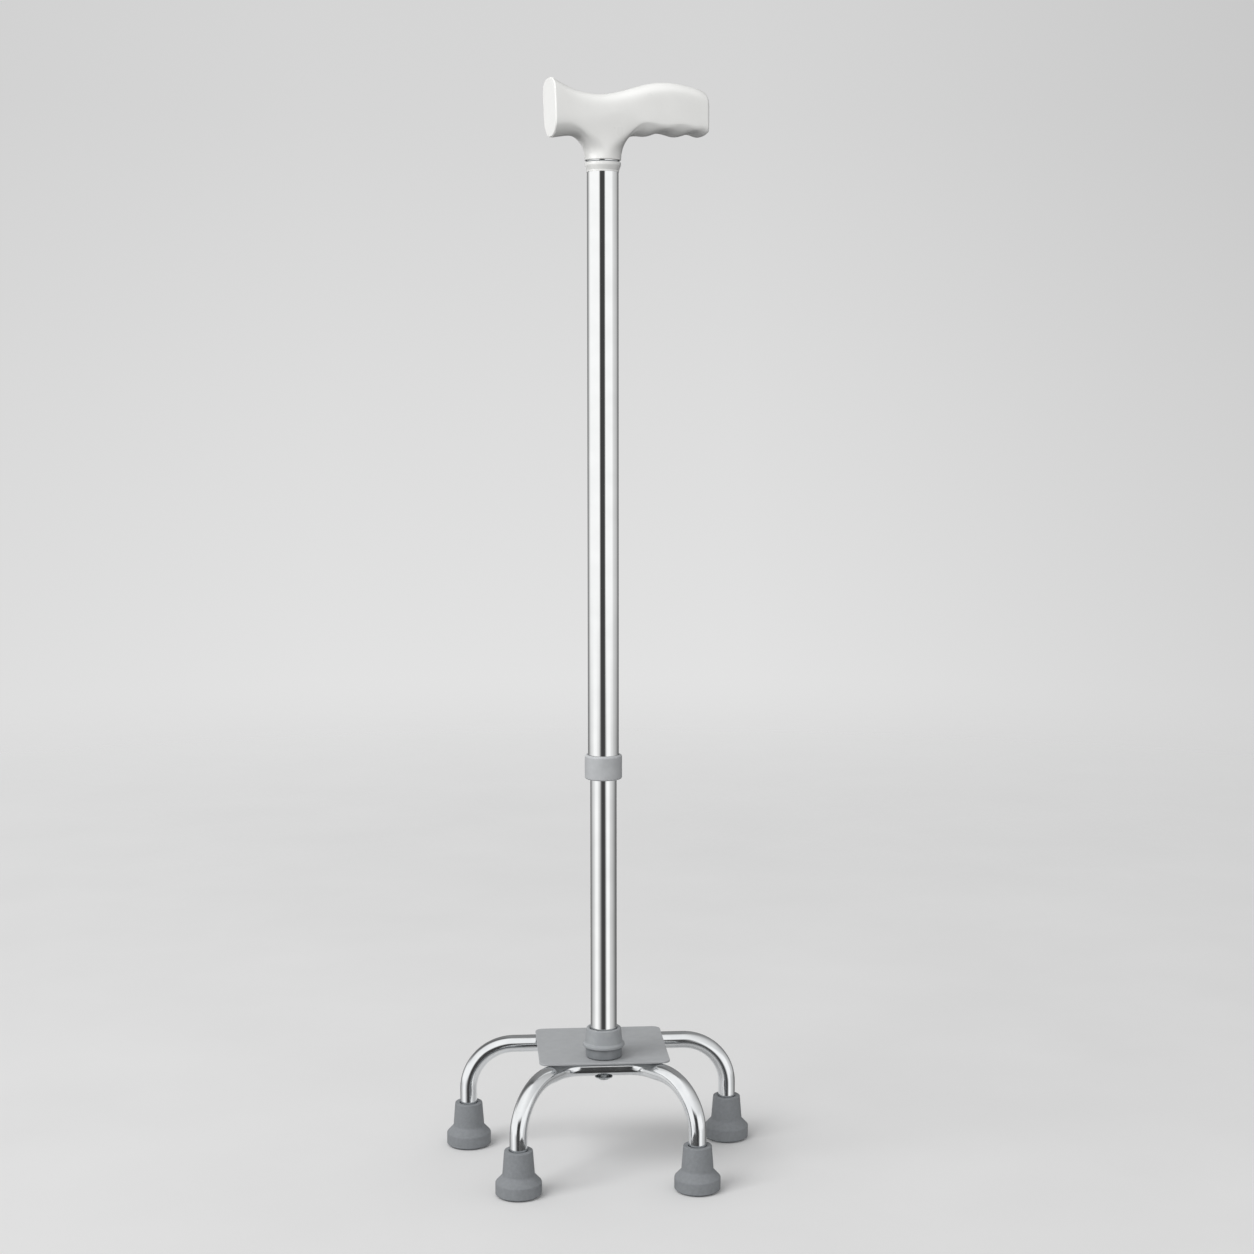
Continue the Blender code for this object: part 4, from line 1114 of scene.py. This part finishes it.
# %% [markdown]
# ## The snap button
#
# The button is pressed in with a thumb to change the height. It is a short domed pin with a
# flange that stays inside the lower tube. Its axis points to the back of the cane, so the
# section is spun round that direction instead of round the stem.

# %% Turn the button
SHANK, FLANGE = 3.2 * MM, 4.1 * MM  # radii
STANDS_OUT = 2.8 * MM  # past the upper tube

lower_bore = LOWER_RADIUS - TUBE_WALL
flange_at = math.sqrt(lower_bore**2 - FLANGE**2) - 0.3 * MM  # just inside the round wall
button = turned(
    "height_button",
    [
        (0, flange_at - 0.6 * MM, 0),
        (FLANGE, flange_at - 0.6 * MM, 0.15 * MM),
        (FLANGE, flange_at, 0.15 * MM),
        (SHANK, flange_at, 0),
        (SHANK, UPPER_RADIUS + STANDS_OUT, 2.6 * MM),
        (0, UPPER_RADIUS + STANDS_OUT, 0),
    ],
    foot=at_button,
    axis=BACK,
    out=UP,
    sides=64,
    steps=8,
)
fit(button, zinc, "zinc_steel", "button", "snap_button")

# %% [markdown]
# ## The middle collar and the neck ring
#
# The middle collar is pressed on the lower end of the upper tube and guides the lower tube, so
# that the stem doesn't rattle. Its top edge is well rounded, because a hand may slide over it.
# The neck ring is a white trim that closes the gap between the tube and the handle. It meets
# the handle at a narrow notch, set back from its rim. The notch's faces get a material slot of
# their own with the darkest nylon, which is painted shade: it draws the thin dark line of the
# joint there.

# %% Turn the collar and the trim ring
NOTCH_HEIGHT = 0.8 * MM

low, high, outer = levels("middle_collar")
seat_radius = UPPER_RADIUS + PUSH_GAP
slide = LOWER_RADIUS + 0.2 * MM
ledge = low + 3.5 * MM
collar = turned(
    "guide_collar",
    [
        (slide, low, 0.4 * MM),
        (outer, low, 1.2 * MM),
        (outer, high, 1.7 * MM),
        (seat_radius, high, 0.2 * MM),
        (seat_radius, ledge, 0.2 * MM),
        (slide, ledge, 0.2 * MM),
    ],
    steps=6,
)
fit(collar, pale_nylon, "grey_plastic", "upper", "middle_collar")

low, high, outer = levels("neck_ring")
notch_radius = seat_radius + 0.3 * MM
trim = turned(
    "neck_trim",
    [
        (seat_radius, low, 0.1 * MM),
        (outer - 1.8 * MM, low, 0.3 * MM),
        (outer, (low + high) / 2 + 0.8 * MM, 2.5 * MM),
        (outer, high - NOTCH_HEIGHT, 0.2 * MM),
        (notch_radius, high - NOTCH_HEIGHT, 0),
        (notch_radius, high, 0),
        (seat_radius, high, 0),
    ],
    steps=6,
)
fit(trim, white_abs, "white_plastic", "upper", "neck_ring")
# the notch's faces take the darkest nylon: painted shade for the joint line
trim.data.materials.append(dark_nylon_with_painted_shade)
bpy.ops.object.mode_set(mode="EDIT")


def is_on_painted_shade(vert):
    """A point of the notch's upright wall or its top, where dark nylon paints the joint's shade."""
    inside = (vert.co - STEM).xy.length < notch_radius + 0.1 * MM
    return inside and vert.co.z > high - NOTCH_HEIGHT - 0.05 * MM


pick(trim, "verts", is_on_painted_shade)
trim.active_material_index = 1
bpy.ops.object.material_slot_assign()
bpy.ops.object.mode_set(mode="OBJECT")

# %% [markdown]
# ## The handle
#
# The grip is one soft shape: a thumb end, a saddle over the stem, a swell for the palm, finger
# scallops below and a neck that flares out of the underside. Its sides are nearly flat and turn
# under at a firm edge, and a narrow keel carries the scallops. Sections of sixteen points are
# enough to describe it, if a subdivision surface smooths between them. A ring of points is
# extruded from section to section, the neck is extruded down from a mouth in the underside, and
# the ends are closed with quads. Sculpting could do it too, but then its sizes would be hard to
# hold.
#
# Four close sections round the edge of each end, and one more ring inside the end's face holds
# it flat.

# %% The grip's sections
THUMB_END, HEEL_END = -39.8 * MM, 74.9 * MM  # from the stem, along the grip
SADDLE_AT, CREST_AT = -6 * MM, 45 * MM
NECK_BACK, NECK_FRONT = -19.5 * MM, 17.5 * MM
FIRST_BUMP_AT, FINGER_PITCH = 33.3 * MM, 20.6 * MM
GRIP_WIDTH = 27.5 * MM
PALM_SWELL, THUMB_SPREAD = 0.75 * MM, 0.9 * MM  # to each side
SADDLE_TOP, CREST_TOP = 45.3 * MM, 55.1 * MM  # all heights are from the neck's lower end
THUMB_RISE, HEEL_FALL = 10 * MM, 5.3 * MM  # of the ridge, towards the ends
THUMB_KEEL, FINGER_KEEL, KEEL_WAVE = 16.7 * MM, 19.6 * MM, 1.25 * MM
THUMB_EDGE, FINGER_EDGE, EDGE_WAVE = 22.2 * MM, 24.1 * MM, 0.8 * MM
KEEL_DROP, EDGE_DROP = 2.6 * MM, 3.4 * MM  # towards the thumb end
HEEL_ROUNDING = 7 * MM  # length before the heel's end where it gets slimmer
HEEL_CLOSE, HEEL_EDGE_DROP = 1 * MM, 2.6 * MM  # of ridge and keel, and of the edge
CROWN = 10.5 * MM  # rounding of the ridge
FACE_RING = 4 * MM  # how far inside the outline the ring in an end's face lies
upper_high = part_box("upper_tube")[1].z
NECK_END = upper_high - 27 * MM
NECK_RADIUS = UPPER_RADIUS + PUSH_GAP + 1.35 * MM


def grip_top(x):
    """Height of the ridge: up to the thumb end, a saddle, the palm's crest, and a fall."""
    if x < SADDLE_AT:
        return SADDLE_TOP + THUMB_RISE * ((x - SADDLE_AT) / (THUMB_END - SADDLE_AT)) ** 2
    if x < CREST_AT:
        share = (x - SADDLE_AT) / (CREST_AT - SADDLE_AT)
        return SADDLE_TOP + (CREST_TOP - SADDLE_TOP) * (1 - math.cos(math.pi * share)) / 2
    fall = HEEL_FALL * ((x - CREST_AT) / (HEEL_END - CREST_AT)) ** 2
    return CREST_TOP - fall - HEEL_CLOSE * heel_share(x) ** 2


def heel_share(x):
    """Grows from 0 to 1 over the last stretch before the heel's end."""
    return max(x - HEEL_END + HEEL_ROUNDING, 0) / HEEL_ROUNDING


def finger_wave(x):
    """Swings between -1 and 1 under the fingers."""
    return math.cos(math.tau * max(x - FIRST_BUMP_AT, 0) / FINGER_PITCH)


def grip_bottom(x):
    """Height of the keel: smooth on the thumb's side, scalloped for the fingers."""
    if x < 0:
        return THUMB_KEEL - KEEL_DROP * (x / THUMB_END) ** 4
    return FINGER_KEEL - KEEL_WAVE * finger_wave(x) + HEEL_CLOSE * heel_share(x) ** 2


def grip_edge(x):
    """Height of the lower edge of the flat side, where it turns under to the keel."""
    if x < 0:
        return THUMB_EDGE - EDGE_DROP * (x / THUMB_END) ** 4
    return FINGER_EDGE + EDGE_WAVE * finger_wave(x) - HEEL_EDGE_DROP * heel_share(x) ** 2


def thumb_flare(x):
    """Grows from 0 at the saddle to 1 at the thumb end."""
    return max((SADDLE_AT - x) / (SADDLE_AT - THUMB_END), 0) ** 2


def grip_half_width(x):
    """Half the width: fuller under the palm, and flared towards the thumb end."""
    swell = math.cos(math.pi / 2 * min(abs(x - CREST_AT) / (CREST_AT - SADDLE_AT), 1)) ** 2
    return GRIP_WIDTH / 2 + PALM_SWELL * swell + THUMB_SPREAD * thumb_flare(x)


def half_outline(half, pinch, top, edge, bottom):
    """Down one side: eight of (across, height, degrees that the surface there faces down).

    Three points lie on the crown's arc, two on the flat side, two on the edge and one on the
    keel. The pinch turns the firm edge into an even curve, for the oval thumb end.
    """
    points = []
    for turn in (0, 32, 64):
        t = math.radians(turn)
        across = half - CROWN + CROWN * math.sin(t)
        points.append((across, top - CROWN * (1 - math.cos(t)), turn - 90))
    return points + [
        (half, max(top - CROWN - (2 + 2.5 * pinch) * MM, edge + 7 * MM), 0),
        (half - 0.3 * MM * pinch, edge + (4 + 3.7 * pinch) * MM, 3 * pinch),
        (half - (0.3 + 2.0 * pinch) * MM, edge + (0.6 + 1.0 * pinch) * MM, 15 + 20 * pinch),
        (half - (1.6 + 4.7 * pinch) * MM, edge - (1.7 + 0.8 * pinch) * MM, 50 + 10 * pinch),
        (0.47 * half - 4.1 * MM * pinch, bottom + 0.3 * MM, 82),
    ]


def in_room(x, y, z):
    """From the grip's own directions to the cane's: along the grip, to its back, up."""
    return STEM + ALONG_GRIP * x + BACK * y + UP * (NECK_END + z)


def grip_section(x, inset=0.0):
    """Sixteen points round the grip at x, moved inwards by the inset."""
    flare, top, bottom = thumb_flare(x), grip_top(x), grip_bottom(x)
    edge = max(grip_edge(x), bottom + 3.0 * MM)
    right = []
    for y, z, facing in half_outline(grip_half_width(x), flare, top, edge, bottom):
        a = math.radians(facing)
        right.append((y - inset * math.cos(a), z + inset * math.sin(a)))
    left = [(-y, z) for y, z in reversed(right)]
    lean = 0.04 * flare  # the thumb end leans out at its top
    return [in_room(x + lean * (top - z), y, z) for y, z in right + left]


def rim(end, inward, radius):
    """Four sections that round the edge of an end, from its face inwards."""
    for turn in (0, 30, 60, 90):
        depth = radius * (1 - math.cos(math.radians(turn)))
        yield end + inward * depth, radius * (1 - math.sin(math.radians(turn)))


stations = [
    (THUMB_END, FACE_RING),
    *rim(THUMB_END, 1, 1.6 * MM),
    ((THUMB_END + NECK_BACK) / 2,),
    (NECK_BACK,),
    (NECK_BACK / 3,),
    (NECK_FRONT / 3,),
    (NECK_FRONT,),
    ((NECK_FRONT + FIRST_BUMP_AT) / 2,),
    *[(FIRST_BUMP_AT + i * FINGER_PITCH / 2,) for i in range(4)],
    (HEEL_END - 5 * MM,),
    *reversed(list(rim(HEEL_END, -1, 1.8 * MM))),
    (HEEL_END, FACE_RING),
]
rings = [grip_section(*station) for station in stations]
print("sections along the grip, in mm:", [round(station[0] / MM, 1) for station in stations])

# %% Extrude the grip from ring to ring
deselect_all()
bpy.ops.mesh.primitive_circle_add(vertices=16, radius=10 * MM, location=(0, 0, 0))
grip = newest("moulded_grip")
bpy.ops.object.mode_set(mode="EDIT")
mesh = bmesh.from_edit_mesh(grip.data)
for vert, spot in zip(mesh.verts, rings[0]):
    vert.co = spot
bmesh.update_edit_mesh(grip.data)
for old, new in zip(rings, rings[1:]):
    extrude_to(grip, old, new)


def is_at(vert, spots):
    """Whether a point lies on one of these spots."""
    return any((vert.co - spot).length < 0.01 * MM for spot in spots)


for end in (rings[0], rings[-1]):
    for i in range(7):
        four = [end[i], end[i + 1], end[14 - i], end[15 - i]]
        pick(grip, "verts", lambda vert: is_at(vert, four))
        bpy.ops.mesh.edge_face_add()
print("points in the cage so far:", len(bmesh.from_edit_mesh(grip.data).verts))

# %% Extrude the neck out of the underside


def neck_ring(height, along, across):
    """Sixteen points round the neck."""
    turns = [math.radians(56.25 + 22.5 * i) for i in range(16)]
    return [in_room(along * math.cos(t), across * math.sin(t), height) for t in turns]


# the mouth is four sections long (9 to 6) and six points wide (5 to 10)
mouth = [rings[i][5] for i in (9, 8, 7, 6)] + [rings[6][k] for k in (6, 7, 8, 9)]
mouth += [rings[i][10] for i in (6, 7, 8, 9)] + [rings[9][k] for k in (9, 8, 7, 6)]
inside = [rings[i][k] for i in (7, 8) for k in (6, 7, 8, 9)]
pick(grip, "faces", lambda face: all(is_at(vert, mouth + inside) for vert in face.verts))
bpy.ops.mesh.delete(type="FACE")

# the mouth's points move to where the neck leaves the grip: highest at the four corners
opened = []
for i, spot in enumerate(mouth):
    x, y, z = (spot - STEM).dot(ALONG_GRIP), (spot - STEM).dot(BACK), 16.0 * MM
    if i in (1, 2, 9, 10):  # the middle of its two long sides
        y, z = math.copysign(13.0 * MM, y), 16.5 * MM
    elif i in (0, 3, 8, 11):  # the corners
        y, z = math.copysign(12.9 * MM, y), 20.4 * MM
    elif i in (4, 7, 12, 15):  # next to the corners, on the short sides
        y, z = math.copysign(10.8 * MM, y), 18.2 * MM
    opened.append(in_room(x, y, z))
mesh = bmesh.from_edit_mesh(grip.data)
for vert in mesh.verts:
    if is_at(vert, mouth):
        vert.co = opened[min(range(16), key=lambda i: (mouth[i] - vert.co).length)]
bmesh.update_edit_mesh(grip.data)
flare_foot = neck_ring(8.5 * MM, NECK_RADIUS + 1.5 * MM, NECK_RADIUS + 0.2 * MM)
neck_foot = neck_ring(0, NECK_RADIUS, NECK_RADIUS)
pick(grip, "edges", lambda edge: len(edge.link_faces) == 1)
extrude_to(grip, opened, flare_foot)
extrude_to(grip, flare_foot, neck_foot)
bpy.ops.mesh.edge_face_add()


def is_neck_edge(edge):
    """An edge of the neck's outline at its lower end."""
    return all(is_at(vert, neck_foot) for vert in edge.verts)


pick(grip, "edges", is_neck_edge)
bpy.ops.transform.edge_crease(value=1.0)
face_outwards()
print("points in the cage:", len(bmesh.from_edit_mesh(grip.data).verts))

# %% [markdown]
# A subdivision surface shrinks away from the points that it is drawn with. So the cage is
# fitted: each point is compared with where the smooth surface ends up for it, and moved out by
# the difference, four times over. After that the surface passes through the measured points.
# Only the rings in the end faces stay as drawn. If they were fitted too, the flat faces would
# bulge like lenses.

# %% Fit the cage and smooth it


def smooth_limit(vert, crease):
    """Where a point of the cage ends on the smooth surface, whose sharp edges are the crease."""
    sharp = [edge.other_vert(vert).co for edge in vert.link_edges if edge in crease]
    if sharp:
        return (sharp[0] + 4 * vert.co + sharp[1]) / 6
    count = len(vert.link_edges)
    beside = sum((edge.other_vert(vert).co for edge in vert.link_edges), Vector())
    across = Vector()
    for face in vert.link_faces:
        spot = list(face.verts).index(vert)
        across += face.verts[(spot + 2) % 4].co
    return (count**2 * vert.co + 4 * beside + across) / (count * (count + 5))


mesh = bmesh.from_edit_mesh(grip.data)
crease = {edge for edge in mesh.edges if is_neck_edge(edge)}
held = rings[0] + rings[-1]
wanted = {vert: vert.co.copy() for vert in mesh.verts if not is_at(vert, held)}
for _ in range(4):
    short = {vert: spot - smooth_limit(vert, crease) for vert, spot in wanted.items()}
    for vert, by in short.items():
        vert.co += by
furthest = max(by.length for by in short.values())
print("furthest move in the last round, in mm:", round(furthest / MM, 3))
bmesh.update_edit_mesh(grip.data)
bpy.ops.object.mode_set(mode="OBJECT")
modify(grip, "SUBSURF", levels=3)
print("faces after smoothing:", len(grip.data.polygons))

# %% [markdown]
# The neck's lower edge is rounded slightly, as every moulded edge is. Then the neck is bored out
# for the tube, and a shallow round recess at the back takes the rivet's head.

# %% Round the neck's edge and bore it
RIVET_WELL, RIVET_RECESS = 3.4 * MM, 0.5 * MM  # radius and depth of its head's seat

use(grip)
bpy.ops.object.mode_set(mode="EDIT")
neck_middle = in_room(0, 0, 0)


def is_neck_rim(edge):
    """An edge of the neck's lower rim, after smoothing."""
    flat = all(abs(vert.co.z - NECK_END) < 0.01 * MM for vert in edge.verts)
    outer = NECK_RADIUS - 0.3 * MM
    return flat and all((vert.co - neck_middle).length > outer for vert in edge.verts)


found = pick(grip, "edges", is_neck_rim)
bpy.ops.mesh.bevel(offset=0.4 * MM, segments=3)
bpy.ops.object.mode_set(mode="OBJECT")
print("edges on the neck's rim:", found)
bore_top = STEM + UP * (upper_high + 2.6 * MM)
drill(grip, UPPER_RADIUS + PUSH_GAP, in_room(0, 0, -MM), bore_top, sides=96)
rivet_seat = NECK_RADIUS - RIVET_RECESS
well_out = at_rivet + BACK * 2 * NECK_RADIUS
drill(grip, RIVET_WELL, at_rivet + BACK * rivet_seat, well_out)
drill(grip, RIVET_HOLE, at_rivet, well_out)
fit(grip, white_abs, "white_plastic", "upper", "handle_grip", weighted=False)

# %% [markdown]
# ## The rivet
#
# A small domed rivet at the back of the neck holds the handle on the tube.

# %% Turn the rivet
seat_at = rivet_seat + 0.3 * MM
rivet = turned(
    "grip_rivet",
    [
        (0, seat_at - 8 * MM, 0),
        (1.6 * MM, seat_at - 8 * MM, 0.3 * MM),
        (1.6 * MM, seat_at, 0),
        (3.1 * MM, seat_at, 0.1 * MM),
        (3.1 * MM, seat_at + 0.9 * MM, 0.75 * MM),
        (0, seat_at + 0.9 * MM, 0),
    ],
    foot=at_rivet,
    axis=BACK,
    out=UP,
    sides=48,
    steps=6,
)
fit(rivet, zinc, "zinc_steel", "upper", "handle_rivet")

# %% [markdown]
# ## The parts inside
#
# The bush, plugs, pin, spring and the steel discs in the feet don't show, and their CAD shapes
# are right as they are. They only get their finishes.

# %% Give the hidden parts their finishes
hidden = {
    "guide_bush": natural_nylon,
    "handle_plug": natural_nylon,
    "foot_plug": zinc,
    "plug_pin": zinc,
    "snap_spring": spring_steel,
    **{f"foot_disc_{corner}": zinc for corner in FOOT_PLACES},
}
for name, finish in hidden.items():
    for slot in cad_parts[name].material_slots:
        slot.material = finish
still_plain = [
    name
    for name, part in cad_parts.items()
    if not part.hide_render and name not in hidden
]
print("CAD parts still without a finish:", still_plain)

# %% [markdown]
# ## The view transform
#
# The lesson ends by setting the view transform to Standard.

# %% Set the view transform
bpy.context.scene.view_settings.view_transform = "Standard"
